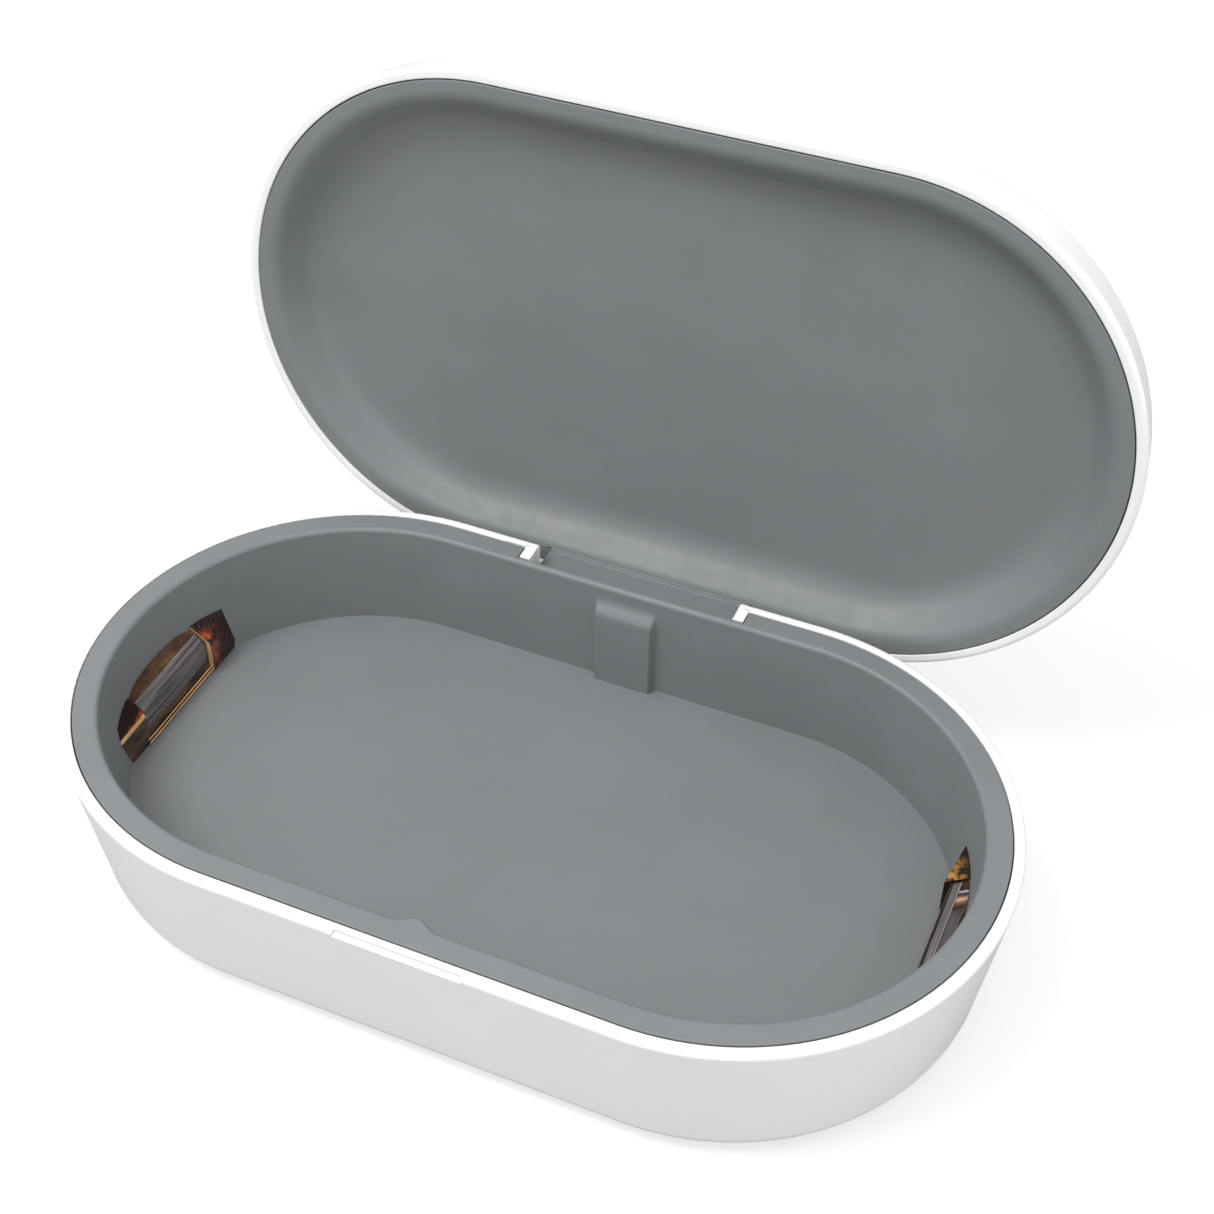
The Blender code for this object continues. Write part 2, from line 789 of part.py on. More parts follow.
def make_electronics():
    board = box(
        "driver_board",
        (-29 * MM, 20 * MM, BOARD_Z),
        (29 * MM, 54.3 * MM, BOARD_TOP),
        BOARD,
    )
    for k, (x, y) in enumerate(BOARD_POSTS):
        hole = cylinder(f"board_hole_tool_{k}", 1.3 * MM, 4 * MM, (x, y, BOARD_Z), (0, 0, 1), None, 12)
        combine(board, hole, "DIFFERENCE")
        screw(
            f"board_screw_{k + 1}",
            1.9 * MM,
            1.2 * MM,
            0.8 * MM,
            4.6 * MM,
            (x, y, BOARD_TOP + GAP + 1.2 * MM),
            (0, 0, -1),
            STEEL,
        )
    top = BOARD_TOP + GAP
    socket = box(
        "usb_c_socket",
        (-4.45 * MM, 50.2 * MM, top),
        (4.45 * MM, 58.0 * MM, top + 3.0 * MM),
        STEEL,
        1.35 * MM,
        3,
    )
    mouth = box(
        "socket_mouth_tool",
        (-4.1 * MM, 52.0 * MM, top + 0.35 * MM),
        (4.1 * MM, 60.0 * MM, top + 2.65 * MM),
        None,
        1.05 * MM,
        3,
    )
    tongue = box(
        "socket_tongue_tool",
        (-3.3 * MM, 51.6 * MM, top + 1.15 * MM),
        (3.3 * MM, 57.2 * MM, top + 1.85 * MM),
        None,
    )
    combine(socket, mouth, "DIFFERENCE")
    combine(socket, tongue, "UNION")
    soft = 0.2 * MM
    coil_high = (7 * MM, 43 * MM, top + 3.0 * MM)
    box("boost_transformer", (-7 * MM, 32 * MM, top), coil_high, BLACK, 3 * soft, 1)
    chip_high = (-13 * MM, 41 * MM, top + 1.2 * MM)
    box("controller_chip", (-20 * MM, 34 * MM, top), chip_high, BLACK, soft, 1)
    for k, x in enumerate((12.5, 18.0)):
        cylinder(
            f"reservoir_capacitor_{k + 1}",
            1.5 * MM,
            9 * MM,
            (x * MM, 37 * MM, top + 1.5 * MM),
            (0, 1, 0),
            BLACK,
            16,
        )
    for side, label in ((-1, "left"), (1, "right")):
        low, high = sorted((side * 22.6 * MM, side * 28.4 * MM))
        plug_high = (high, 39 * MM, top + PLUG_H)
        box(f"lamp_plug_{label}", (low, 33 * MM, top), plug_high, IVORY, soft, 1)
    plug_high = (13.5 * MM, 52.4 * MM, top + PLUG_H)
    box("sensor_plug", (8.5 * MM, 48.4 * MM, top), plug_high, IVORY, soft, 1)
    box("sensor_board", (-5 * MM, 52.0 * MM, 16.2 * MM), (5 * MM, 52.9 * MM, 26.8 * MM), BOARD)
    sensor_high = (1.5 * MM, 54.3 * MM, 25.4 * MM)
    box("lid_sensor", (-1.5 * MM, 53.2 * MM, 22.4 * MM), sensor_high, BLACK, soft, 1)


def make_leads():
    for side, label in ((-1, "left"), (1, "right")):
        route = [
            (side * 29.0, 36, 8.5),
            (side * 36, 35, 7.6),
            (side * 48, 28, 6.4),
            (side * 64, 14, 6.0),
            (side * 80, 11, 6.0),
            (side * 91, 12, 7.0),
            (side * 96.6, 12.6, 9.4),
            (side * 98.6, 13.6, 13.2),
            (side * 98.7, 14.1, 17.5),
        ]
        cable(f"lamp_lead_{label}", route, 0.8 * MM, CABLE)
    route = [
        (11, 53.4, 8.4),
        (10.4, 53.8, 10.6),
        (8.4, 54.6, 14.0),
        (5.2, 55.2, 17.0),
        (2.4, 54.9, 18.6),
        (1.2, 53.8, 19.0),
    ]
    cable("sensor_lead", route, 0.6 * MM, CABLE)


make_base_shell()
make_base_liner()
make_lid_shell()
make_lid_liner()
make_hinge_pins()
make_magnets()
for lamp_side, lamp_label in ((-1, "left"), (1, "right")):
    make_lamp(lamp_side, lamp_label)
make_feet_and_screws()
make_electronics()
make_leads()
hinge.rotation_euler = (-math.radians(OPEN_DEG), 0, 0)
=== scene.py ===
"""Looks of the obround UV-C sanitizer box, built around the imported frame.

Metres, +Z up, +X along the box, +Y towards the hinge. Lid pieces are built shut and then turned
open about the hinge, as the frame has them.
"""

import json
import math

import bmesh
import bpy
from mathutils import Matrix, Vector


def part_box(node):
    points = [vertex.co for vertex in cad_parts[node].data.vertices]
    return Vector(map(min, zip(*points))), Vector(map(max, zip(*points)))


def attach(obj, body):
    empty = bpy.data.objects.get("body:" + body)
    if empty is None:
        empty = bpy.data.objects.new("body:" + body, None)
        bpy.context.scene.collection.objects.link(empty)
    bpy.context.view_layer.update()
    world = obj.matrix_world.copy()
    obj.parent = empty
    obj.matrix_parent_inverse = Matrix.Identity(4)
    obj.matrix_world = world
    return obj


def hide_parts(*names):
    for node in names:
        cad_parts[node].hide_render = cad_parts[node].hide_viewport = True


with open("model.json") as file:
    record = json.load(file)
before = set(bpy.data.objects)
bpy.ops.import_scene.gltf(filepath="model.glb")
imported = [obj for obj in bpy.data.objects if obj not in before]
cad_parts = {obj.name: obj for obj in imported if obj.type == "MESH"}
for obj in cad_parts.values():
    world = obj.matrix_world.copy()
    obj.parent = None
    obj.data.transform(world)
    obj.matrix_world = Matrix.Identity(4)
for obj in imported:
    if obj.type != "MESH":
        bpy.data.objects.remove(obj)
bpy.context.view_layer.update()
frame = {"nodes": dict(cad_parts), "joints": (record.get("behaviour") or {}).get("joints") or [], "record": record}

MM = 0.001

# ---------------------------------------------------------------- sizes, from the frame
shell_low, shell_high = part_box("base_shell")
liner_low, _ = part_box("base_liner")
RIM_R = -shell_low.y
STRAIGHT = shell_high.x - RIM_R
BASE_H = shell_high.z
LINER_R = -liner_low.y
hinge_joint = frame["joints"][0]
HINGE = Vector(hinge_joint["pos_m"])
OPEN_TURN = -math.radians(hinge_joint["range_deg"][1])

# Tub.
TAPER = 0.1245
EDGE_R = 1.2 * MM
BASE_FILLET = 4.8 * MM
WALL = 2.3 * MM
SHELL_INNER_R = LINER_R + 0.3 * MM
FOOT_X = 62 * MM
FOOT_Y = 40 * MM
FOOT_WELL_R = 5.3 * MM
FOOT_WELL_D = 0.8 * MM
PORT_HALF = 4.8 * MM
PORT_LOW = 6.8 * MM
PORT_HIGH = 10.4 * MM
PORT_ROUND = 1.7 * MM

# Cutters on the back wall start inside of it and end well outside of it.
INSIDE_Y = 50 * MM
OUTSIDE_Y = 70 * MM

# Tray.
TRAY_Z = 12.4 * MM
CAVITY_TOP_R = 53.6 * MM
CAVITY_FLOOR_R = 50.45 * MM
CREASE_R = 0.1 * MM
FLANGE_T = 2.0 * MM
LINER_T = 1.6 * MM
TRAY_NOTCH_Y = 55.0 * MM
PAD_HALF = 8.0 * MM
PAD_PROUD = 2.0 * MM
PAD_LEAN = 1.2 * MM
PAD_FLANK = 1.1 * MM
PAD_TOP = BASE_H - 4.0 * MM
PAD_TOP_EASE = 2.6 * MM
BUMP_HALF = 5.0 * MM
BUMP_PROUD = 2.1 * MM

# Lid. The hidden side of its dish is an ellipse; the open side is a band, a cone and a bowl that
# eases out to a flat middle.
LID_RIM_Z = BASE_H + 0.3 * MM
LID_H = 14.95 * MM
LID_FILLET = 6.0 * MM
DISH_R = 55.0 * MM
DISH_FLAT_R = 42.0 * MM
DISH_D = 9.5 * MM
DISH_SLOPE = 49
BAND_R = 57.0 * MM
CONE_R = 53.7 * MM
BOWL_R = 50.6 * MM
BOWL_FLAT_R = 41.5 * MM
BOWL_EASE = 2.2

# Hinge.
NOTCH_X = 26.0 * MM
EAR_T = 2.7 * MM
EAR_Y = 55.6 * MM
EAR_BACK_Y = 60.2 * MM
SEAT_Y = 54.7 * MM
NOTCH_Z = 25.5 * MM
BARREL_R = 3.2 * MM
SKIN_Y = 60.5 * MM
PIN_HOLE_R = 1.3 * MM
PIN_BORE_HALF = 31 * MM
PIN_LENGTH = 14.6 * MM
PIN_R = 1.0 * MM
BEAD_PROUD = 0.3 * MM

# Finger notch.
FINGER_HALF = 14.2 * MM
FINGER_Y = 61.1 * MM
FINGER_STEP = 0.85 * MM
FINGER_FALL = 1.1 * MM

# Lamp housings, across each round end.
LAMP_X = 92.4 * MM
LAMP_HALF = 13.3 * MM
LAMP_LOW = TRAY_Z + 0.3 * MM
LAMP_CREASE = 21.8 * MM
LAMP_TOP = 25.4 * MM
LAMP_BACK = 102 * MM
LAMP_WALL = 1.1 * MM
MIDDLE_HALF = 14 * MM
END_OUTER = 26 * MM
END_TOP_OUTER = 23.0 * MM
NEAR_PROUD = 0.3 * MM
FAR_PROUD = 1.1 * MM
PLINTH_H = 1.3 * MM
PLINTH_HALF = 14 * MM
PLINTH_PROUD = 0.45 * MM
SILL_H = 0.35 * MM
SILL_PROUD = 0.22 * MM
WINDOW_FOOT = 16.6 * MM
WINDOW_CROWN = (95.0 * MM, 23.9 * MM)
WINDOW_HALF = 12.75 * MM
WINDOW_T = 0.9 * MM
KNEE_ROUND = 1.6 * MM
RIB_PITCH = 0.62 * MM
RIB_H = 0.14 * MM
TUBE_X = 96.4 * MM
TUBE_Z = 20.5 * MM
TUBE_R = 1.8 * MM
TUBE_HALF = 14.4 * MM
TROUGH_R = (2.4 * MM, 2.75 * MM)
TROUGH_HALF = 12.4 * MM
GROMMET_X = (94.5 * MM, 99.8 * MM)
GROMMET_Y = (12.9 * MM, 15.3 * MM)
GROMMET_Z = (17.9 * MM, 22.5 * MM)

# Material slots of the blocks that a housing is put together from, and of a window. Slot 0 is
# the plain look of either.
# Slots 1 to 5 of a housing and 1 to 2 of a window hold painted highlights, glow, glints and shade.
EDGE, FAR_TOP, NEAR_TOP, MIDDLE_TOP, END_FACE = range(1, 6)
PANE_LIP, PANE_BEND = range(1, 3)

END_STEPS = 64
SIDE_STEPS = [k * 5.7 * MM for k in range(-7, 8)]


# ---------------------------------------------------------------- mesh helpers
def new_piece(name, bm, smooth_angle=35):
    bmesh.ops.recalc_face_normals(bm, faces=bm.faces)
    mesh = bpy.data.meshes.new(name)
    bm.to_mesh(mesh)
    bm.free()
    mesh.shade_smooth()
    mesh.set_sharp_from_angle(angle=math.radians(smooth_angle))
    made = bpy.data.objects.new(name, mesh)
    bpy.context.scene.collection.objects.link(made)
    return made


def stations(extra=()):
    """Places around the obround: (x of the foot of the radius, direction of the radius)."""
    found = []
    for side in (1, -1):
        turn = 0 if side > 0 else math.pi
        for k in range(END_STEPS + 1):
            angle = math.pi * (k / END_STEPS - 0.5) + turn
            found.append((side * STRAIGHT, Vector((math.cos(angle), math.sin(angle)))))
        back = side > 0
        for x in sorted(extra, reverse=back):
            found.append((x, Vector((0, 1 if back else -1))))
    return found


def ring(places, radius, z, relief=None):
    """Points of the outline at one height; relief pulls the radius in at some places."""
    points = []
    for x, way in places:
        r = radius - (relief(x, way.y, z) if relief and way.x == 0 else 0)
        points.append((x + r * way.x, r * way.y, z))
    return points


def loft(name, profile, extra=(), relief=None, inner_from=0):
    """Joins the rings of a (radius, z) profile; relief acts on the rings from inner_from on."""
    bm = bmesh.new()
    places = stations(extra)
    loops = []
    for k, (radius, z) in enumerate(profile):
        shape = relief if k >= inner_from else None
        loops.append([bm.verts.new(p) for p in ring(places, radius, z, shape)])
    count = len(places)
    for low, high in zip(loops, loops[1:]):
        for k in range(count):
            n = (k + 1) % count
            bm.faces.new((low[k], low[n], high[n], high[k]))
    bm.faces.new(loops[0])
    bm.faces.new(loops[-1])
    return new_piece(name, bm)


def arc(centre, radius, start, end, steps):
    """(r, z) points on an arc, angles in degrees from the +r axis."""
    angles = [math.radians(start + (end - start) * k / steps) for k in range(steps + 1)]
    return [(centre[0] + radius * math.cos(a), centre[1] + radius * math.sin(a)) for a in angles]


def block(name, low, high, bevel=0.0, segments=3):
    bm = bmesh.new()
    bmesh.ops.create_cube(bm, size=1.0)
    bmesh.ops.scale(bm, vec=Vector(high) - Vector(low), verts=bm.verts)
    bmesh.ops.translate(bm, vec=(Vector(high) + Vector(low)) / 2, verts=bm.verts)
    if bevel:
        edges = list(bm.edges)
        bmesh.ops.bevel(
            bm, geom=edges, offset=bevel, segments=segments, profile=0.5, affect="EDGES"
        )
    return new_piece(name, bm)


def lathe(name, profile, centre, axis, steps=48):
    """Turns a profile of (radius, height) pairs about an axis through centre."""
    bm = bmesh.new()
    turn = Vector((0, 0, 1)).rotation_difference(Vector(axis)).to_matrix().to_4x4()
    rings = []
    for radius, height in profile:
        if radius == 0:
            rings.append([bm.verts.new((0, 0, height))])
            continue
        points = []
        for k in range(steps):
            a = 2 * math.pi * k / steps
            points.append(bm.verts.new((radius * math.cos(a), radius * math.sin(a), height)))
        rings.append(points)
    for low, high in zip(rings, rings[1:]):
        for k in range(steps):
            n = (k + 1) % steps
            corners = (
                low[k % len(low)],
                low[n % len(low)],
                high[n % len(high)],
                high[k % len(high)],
            )
            kept = list(dict.fromkeys(corners))
            if len(kept) > 2:
                bm.faces.new(kept)
    bmesh.ops.transform(bm, matrix=Matrix.Translation(Vector(centre)) @ turn, verts=bm.verts)
    return new_piece(name, bm)


def rod(radius, low, high, centre, axis, steps):
    """Plain cylinder from low to high along the axis, to add or cut with."""
    profile = [(0, low), (radius, low), (radius, high), (0, high)]
    return lathe("tool", profile, centre, axis, steps)


def bar(name, near_points, far_points):
    """Closed bar between two matching outlines."""
    bm = bmesh.new()
    near = [bm.verts.new(p) for p in near_points]
    far = [bm.verts.new(p) for p in far_points]
    bm.faces.new(near)
    bm.faces.new(far)
    for k in range(len(near)):
        n = (k + 1) % len(near)
        bm.faces.new((near[k], near[n], far[n], far[k]))
    return new_piece(name, bm)


def combine(piece, tool, operation):
    """Adds or cuts the tool, applies it at once and removes the tool."""
    step = piece.modifiers.new("combine", "BOOLEAN")
    step.operation = operation
    step.solver = "EXACT"
    step.object = tool
    bake(piece)
    bpy.data.objects.remove(tool, do_unlink=True)


def bake(piece):
    """Turns the piece's modifiers into its own mesh."""
    shown = piece.evaluated_get(bpy.context.evaluated_depsgraph_get())
    mesh = bpy.data.meshes.new_from_object(shown)
    piece.modifiers.clear()
    piece.data = mesh


def soften(piece, width, segments=2, angle=40):
    """Rounds the sharp edges, then keeps the flat faces flat in shading."""
    edge = piece.modifiers.new("soft_edges", "BEVEL")
    edge.width = width
    edge.segments = segments
    edge.limit_method = "ANGLE"
    edge.angle_limit = math.radians(angle)
    edge.use_clamp_overlap = False
    edge.harden_normals = False
    bake(piece)
    piece.data.shade_smooth()
    piece.data.set_sharp_from_angle(angle=math.radians(50))
    weighted = piece.modifiers.new("even_shading", "WEIGHTED_NORMAL")
    weighted.keep_sharp = True
    weighted.weight = 80
    bake(piece)


def reshade(piece, angle=38):
    """Gives a cut piece its smooth and sharp edges again."""
    piece.data.shade_smooth()
    piece.data.set_sharp_from_angle(angle=math.radians(angle))
    weighted = piece.modifiers.new("even_shading", "WEIGHTED_NORMAL")
    weighted.keep_sharp = True
    bake(piece)


def open_lid(piece):
    """Turns a piece that was built shut to where the frame has the lid."""
    turn = Matrix.Rotation(OPEN_TURN, 4, "X")
    piece.data.transform(Matrix.Translation(HINGE) @ turn @ Matrix.Translation(-HINGE))


def place(piece, body, slot, look, *nodes):
    """Gives a piece its look, hangs it on its body and hides the frame's nodes it stands for; look is None when
    its faces already carry their materials.
    """
    if look is not None:
        piece.data.materials.clear()
        piece.data.materials.append(look)
    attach(piece, body)
    if nodes:
        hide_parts(*nodes)
    return piece


def ease(t):
    """Smooth step from 0 to 1."""
    t = min(max(t, 0.0), 1.0)
    return t * t * (3 - 2 * t)


# ---------------------------------------------------------------- materials
# Stretch of a noise that turns it into fine lines.
LINES_ALONG_Y = (1, 0.03, 1)


def shader_of(name):
    made = bpy.data.materials.new(name)
    made.use_nodes = True
    return made, made.node_tree, made.node_tree.nodes["Principled BSDF"]


def noise(tree, scale, detail=3.0, stretch=None):
    """Noise over the piece's own coordinates, in 1/m."""
    coords = tree.nodes.new("ShaderNodeTexCoord")
    made = tree.nodes.new("ShaderNodeTexNoise")
    made.inputs["Scale"].default_value = scale
    made.inputs["Detail"].default_value = detail
    source = coords.outputs["Object"]
    if stretch:
        mapping = tree.nodes.new("ShaderNodeMapping")
        mapping.inputs["Scale"].default_value = stretch
        tree.links.new(source, mapping.inputs["Vector"])
        source = mapping.outputs["Vector"]
    tree.links.new(source, made.inputs["Vector"])
    return made.outputs["Fac"]


def between(tree, factor, low, high):
    """Maps noise of about 0.3 to 0.7 to the range low to high."""
    made = tree.nodes.new("ShaderNodeMapRange")
    made.inputs["From Min"].default_value = 0.3
    made.inputs["From Max"].default_value = 0.7
    made.inputs["To Min"].default_value = low
    made.inputs["To Max"].default_value = high
    tree.links.new(factor, made.inputs["Value"])
    return made.outputs["Result"]


def mixed(tree, share, dark, light):
    """Colour between dark and light, by a share of 0 to 1."""
    made = tree.nodes.new("ShaderNodeMix")
    made.data_type = "RGBA"
    made.inputs["A"].default_value = (*dark, 1)
    made.inputs["B"].default_value = (*light, 1)
    tree.links.new(share, made.inputs["Factor"])
    return made.outputs["Result"]


def tone(tree, factor, dark, light):
    """Colour between dark and light, by noise."""
    return mixed(tree, between(tree, factor, 0, 1), dark, light)


def fade(tree, value, start, end):
    """Smooth rise from 0, where the value is start, to 1, where it is end."""
    made = tree.nodes.new("ShaderNodeMapRange")
    made.interpolation_type = "SMOOTHSTEP"
    made.inputs["From Min"].default_value = start
    made.inputs["From Max"].default_value = end
    tree.links.new(value, made.inputs["Value"])
    return made.outputs["Result"]


def reckon(tree, operation, *values):
    """One step of arithmetic on node outputs."""
    made = tree.nodes.new("ShaderNodeMath")
    made.operation = operation
    for value, socket in zip(values, made.inputs):
        tree.links.new(value, socket)
    return made.outputs["Value"]


def position(tree):
    """X, Y and Z of the point; a piece's own coordinates are the world's."""
    coords = tree.nodes.new("ShaderNodeTexCoord")
    made = tree.nodes.new("ShaderNodeSeparateXYZ")
    tree.links.new(coords.outputs["Object"], made.inputs["Vector"])
    return made.outputs


def bump(tree, shader, height, distance, strength):
    made = tree.nodes.new("ShaderNodeBump")
    made.inputs["Distance"].default_value = distance
    made.inputs["Strength"].default_value = strength
    tree.links.new(height, made.inputs["Height"])
    tree.links.new(made.outputs["Normal"], shader.inputs["Normal"])


def plastic(name, dark, light, rough, grain, depth, coat=0.0, patch=45):
    """Moulded plastic: slow colour drift, uneven gloss and a fine moulded grain."""
    made, tree, shader = shader_of(name)
    tree.links.new(tone(tree, noise(tree, patch, 4), dark, light), shader.inputs["Base Color"])
    tree.links.new(between(tree, noise(tree, patch * 6, 3), *rough), shader.inputs["Roughness"])
    bump(tree, shader, noise(tree, grain, 2), depth, 0.25)
    shader.inputs["Coat Weight"].default_value = coat
    shader.inputs["Coat Roughness"].default_value = 0.12
    return made


def metal(name, dark, light, rough, stretch):
    """Rolled or turned metal with fine lines along one direction."""
    made, tree, shader = shader_of(name)
    lines = noise(tree, 900, 3, stretch)
    tree.links.new(tone(tree, lines, dark, light), shader.inputs["Base Color"])
    tree.links.new(between(tree, lines, *rough), shader.inputs["Roughness"])
    bump(tree, shader, lines, 0.01 * MM, 0.3)
    shader.inputs["Metallic"].default_value = 1.0
    return made


def clear(name, dark, light, rough, ior, weight=1.0, flow_and_streak_scale=160, stretch=(1, 0.3, 1)):
    """Clear tinted plastic or quartz, with faint flow marks; on the windows the marks are stretched into
    lengthwise streaks, painted highlights along the modelled ribs.
    """
    made, tree, shader = shader_of(name)
    flow_and_streaks = noise(tree, flow_and_streak_scale, 3, stretch)
    tree.links.new(tone(tree, flow_and_streaks, dark, light), shader.inputs["Base Color"])
    tree.links.new(between(tree, noise(tree, 700, 2), *rough), shader.inputs["Roughness"])
    bump(tree, shader, flow_and_streaks, 0.08 * MM, 0.2)
    shader.inputs["Transmission Weight"].default_value = weight
    shader.inputs["IOR"].default_value = ior
    return made


def painted_glow(name, dark, light, reach=(19.0, 13.6), rise=(24.6, 22.4)):
    """Facet of an end block: painted glow in bright pools beside the seam, dark and rippled at the tip.

    reach and rise, in mm, say where along Y and up Z the facet goes from dark to bright.
    """
    made, tree, shader = shader_of(name)
    painted_glow_pools = fade(tree, noise(tree, 520, 3), 0.36, 0.62)
    place_of = position(tree)
    along = fade(tree, reckon(tree, "ABSOLUTE", place_of["Y"]), reach[0] * MM, reach[1] * MM)
    up = fade(tree, place_of["Z"], rise[0] * MM, rise[1] * MM)
    share = reckon(tree, "MULTIPLY", reckon(tree, "MULTIPLY", painted_glow_pools, along), up)
    tree.links.new(mixed(tree, share, dark, light), shader.inputs["Base Color"])
    tree.links.new(between(tree, noise(tree, 700, 2), 0.03, 0.12), shader.inputs["Roughness"])
    bump(tree, shader, noise(tree, 1100, 1), 0.4 * MM, 0.5)
    shader.inputs["Transmission Weight"].default_value = 0.35
    shader.inputs["IOR"].default_value = 1.38
    return made


def smoke_and_painted_glints(name, stops):
    """Slope above the right-hand window: smoky, with painted glints and dark bands that stand for the tube's end
    behind it.

    stops are (Y in mm, colour) pairs, from the front to the back.
    """
    made, tree, shader = shader_of(name)
    first, last = stops[0][0], stops[-1][0]
    along = tree.nodes.new("ShaderNodeMapRange")
    along.inputs["From Min"].default_value = first * MM
    along.inputs["From Max"].default_value = last * MM
    tree.links.new(position(tree)["Y"], along.inputs["Value"])
    ripple = between(tree, noise(tree, 420, 2), -0.03, 0.03)
    smoke_and_glint_bands = tree.nodes.new("ShaderNodeValToRGB")
    while len(smoke_and_glint_bands.color_ramp.elements) < len(stops):
        smoke_and_glint_bands.color_ramp.elements.new(0.5)
    for element, (y, colour) in zip(smoke_and_glint_bands.color_ramp.elements, stops):
        element.position = (y - first) / (last - first)
        element.color = (*colour, 1)
    tree.links.new(reckon(tree, "ADD", along.outputs["Result"], ripple), smoke_and_glint_bands.inputs["Fac"])
    # Lengthwise streaks, as on the windows: painted highlights.
    streaks = noise(tree, 2100, 3, LINES_ALONG_Y)
    mix = tree.nodes.new("ShaderNodeMix")
    mix.data_type = "RGBA"
    mix.blend_type = "MULTIPLY"
    mix.inputs["Factor"].default_value = 1.0
    tree.links.new(smoke_and_glint_bands.outputs["Color"], mix.inputs["A"])
    tree.links.new(tone(tree, streaks, (0.55, 0.55, 0.55), (1.3, 1.3, 1.3)), mix.inputs["B"])
    tree.links.new(mix.outputs["Result"], shader.inputs["Base Color"])
    tree.links.new(between(tree, noise(tree, 700, 2), 0.05, 0.12), shader.inputs["Roughness"])
    bump(tree, shader, streaks, 0.02 * MM, 0.2)
    shader.inputs["Transmission Weight"].default_value = 0.15
    shader.inputs["IOR"].default_value = 1.46
    return made


# Plastics: dark and light colour, roughness range, grain scale and depth.
WHITE = plastic(
    "white_shell", (0.855, 0.855, 0.855), (0.875, 0.875, 0.875), (0.30, 0.33), 2600, 0.004 * MM, 0.2
)
GREY = plastic(
    "grey_liner", (0.176, 0.186, 0.191), (0.190, 0.200, 0.206), (0.46, 0.56), 2200, 0.02 * MM
)
RUBBER = plastic(
    "rubber", (0.035, 0.035, 0.036), (0.055, 0.055, 0.056), (0.7, 0.85), 1600, 0.04 * MM
)
BOARD = plastic(
    "circuit_board", (0.012, 0.13, 0.05), (0.02, 0.19, 0.08), (0.3, 0.45), 1200, 0.02 * MM
)
IVORY = plastic(
    "ivory_plastic", (0.62, 0.58, 0.48), (0.72, 0.68, 0.58), (0.35, 0.5), 1500, 0.02 * MM
)
CABLE = plastic(
    "cable_jacket", (0.52, 0.52, 0.52), (0.64, 0.64, 0.64), (0.45, 0.6), 1500, 0.02 * MM
)
BLACK = plastic(
    "black_component", (0.02, 0.02, 0.02), (0.035, 0.035, 0.035), (0.3, 0.45), 1500, 0.02 * MM
)
# Bright tan of the housings' bevelled edges and step faces: a painted highlight.
AMBER_EDGE_HIGHLIGHT = plastic(
    "amber_edge_painted_highlight", (0.60, 0.35, 0.14), (0.95, 0.62, 0.28), (0.15, 0.3), 900, 0.01 * MM
)
# Light lip of a window: a painted highlight.
PANE_EDGE_HIGHLIGHT = plastic(
    "pane_edge_painted_highlight", (0.13, 0.12, 0.11), (0.34, 0.32, 0.30), (0.15, 0.3), 900, 0.01 * MM
)

# Metals: dark and light colour, roughness range, direction of the fine lines.
REFLECTOR = metal("reflector", (0.72, 0.72, 0.74), (0.86, 0.86, 0.87), (0.12, 0.26), (1, 0.05, 1))
STEEL = metal("steel", (0.50, 0.50, 0.52), (0.66, 0.66, 0.67), (0.25, 0.4), (0.1, 1, 1))
NICKEL = metal("magnet_nickel", (0.62, 0.60, 0.56), (0.72, 0.70, 0.66), (0.2, 0.3), (1, 1, 1))

# Clear pieces. The photo shows other glints in the two housings, so the faces that give them
# have a look for each side of the box: -1 is the left, 1 the right.
QUARTZ = clear("quartz_tube", (0.80, 0.80, 0.82), (0.92, 0.92, 0.93), (0.02, 0.05), 1.46)
AMBER = clear(
    "amber_housing", (0.022, 0.010, 0.009), (0.48, 0.25, 0.13), (0.02, 0.07), 1.52, 0.72, 340
)
# Windows: the lengthwise light streaks in the colour are painted highlights along the ribs.
PANE = clear(
    "quartz_pane",
    (0.055, 0.046, 0.048),
    (0.32, 0.29, 0.30),
    (0.08, 0.16),
    1.46,
    0.4,
    2100,
    LINES_ALONG_Y,
)
# Below the bend: the left-hand window keeps its plain look, the right-hand one is near black, painted shade.
PANE_KNEE = {
    -1: PANE,
    1: clear(
        "quartz_pane_knee_painted_shade",
        (0.005, 0.004, 0.004),
        (0.08, 0.055, 0.045),
        (0.08, 0.16),
        1.35,
        0.2,
        2100,
        LINES_ALONG_Y,
    ),
}
# Slopes of the end blocks: painted glow, standing for light coming through the amber.
NEAR_GLOW = painted_glow(
    "amber_glow_near", (0.022, 0.008, 0.006), (0.70, 0.13, 0.025), (23.0, 16.5), (23.1, 22.0)
)
FAR_GLOW = {
    -1: painted_glow("amber_glow_left", (0.022, 0.008, 0.006), (0.70, 0.13, 0.025)),
    1: painted_glow(
        "amber_glow_right", (0.022, 0.012, 0.008), (0.66, 0.34, 0.08), (20.0, 17.2), (25.4, 23.6)
    ),
}
# Far end faces of the housings: painted glow on the left, near-black painted shade on the right.
FAR_FACE = {
    -1: painted_glow("amber_face_left_painted_glow", (0.036, 0.014, 0.011), (0.40, 0.11, 0.08), (20.0, 13.5)),
    1: clear(
        "amber_face_right_painted_shade", (0.006, 0.005, 0.004), (0.04, 0.020, 0.010), (0.05, 0.12), 1.3, 0.2
    ),
}
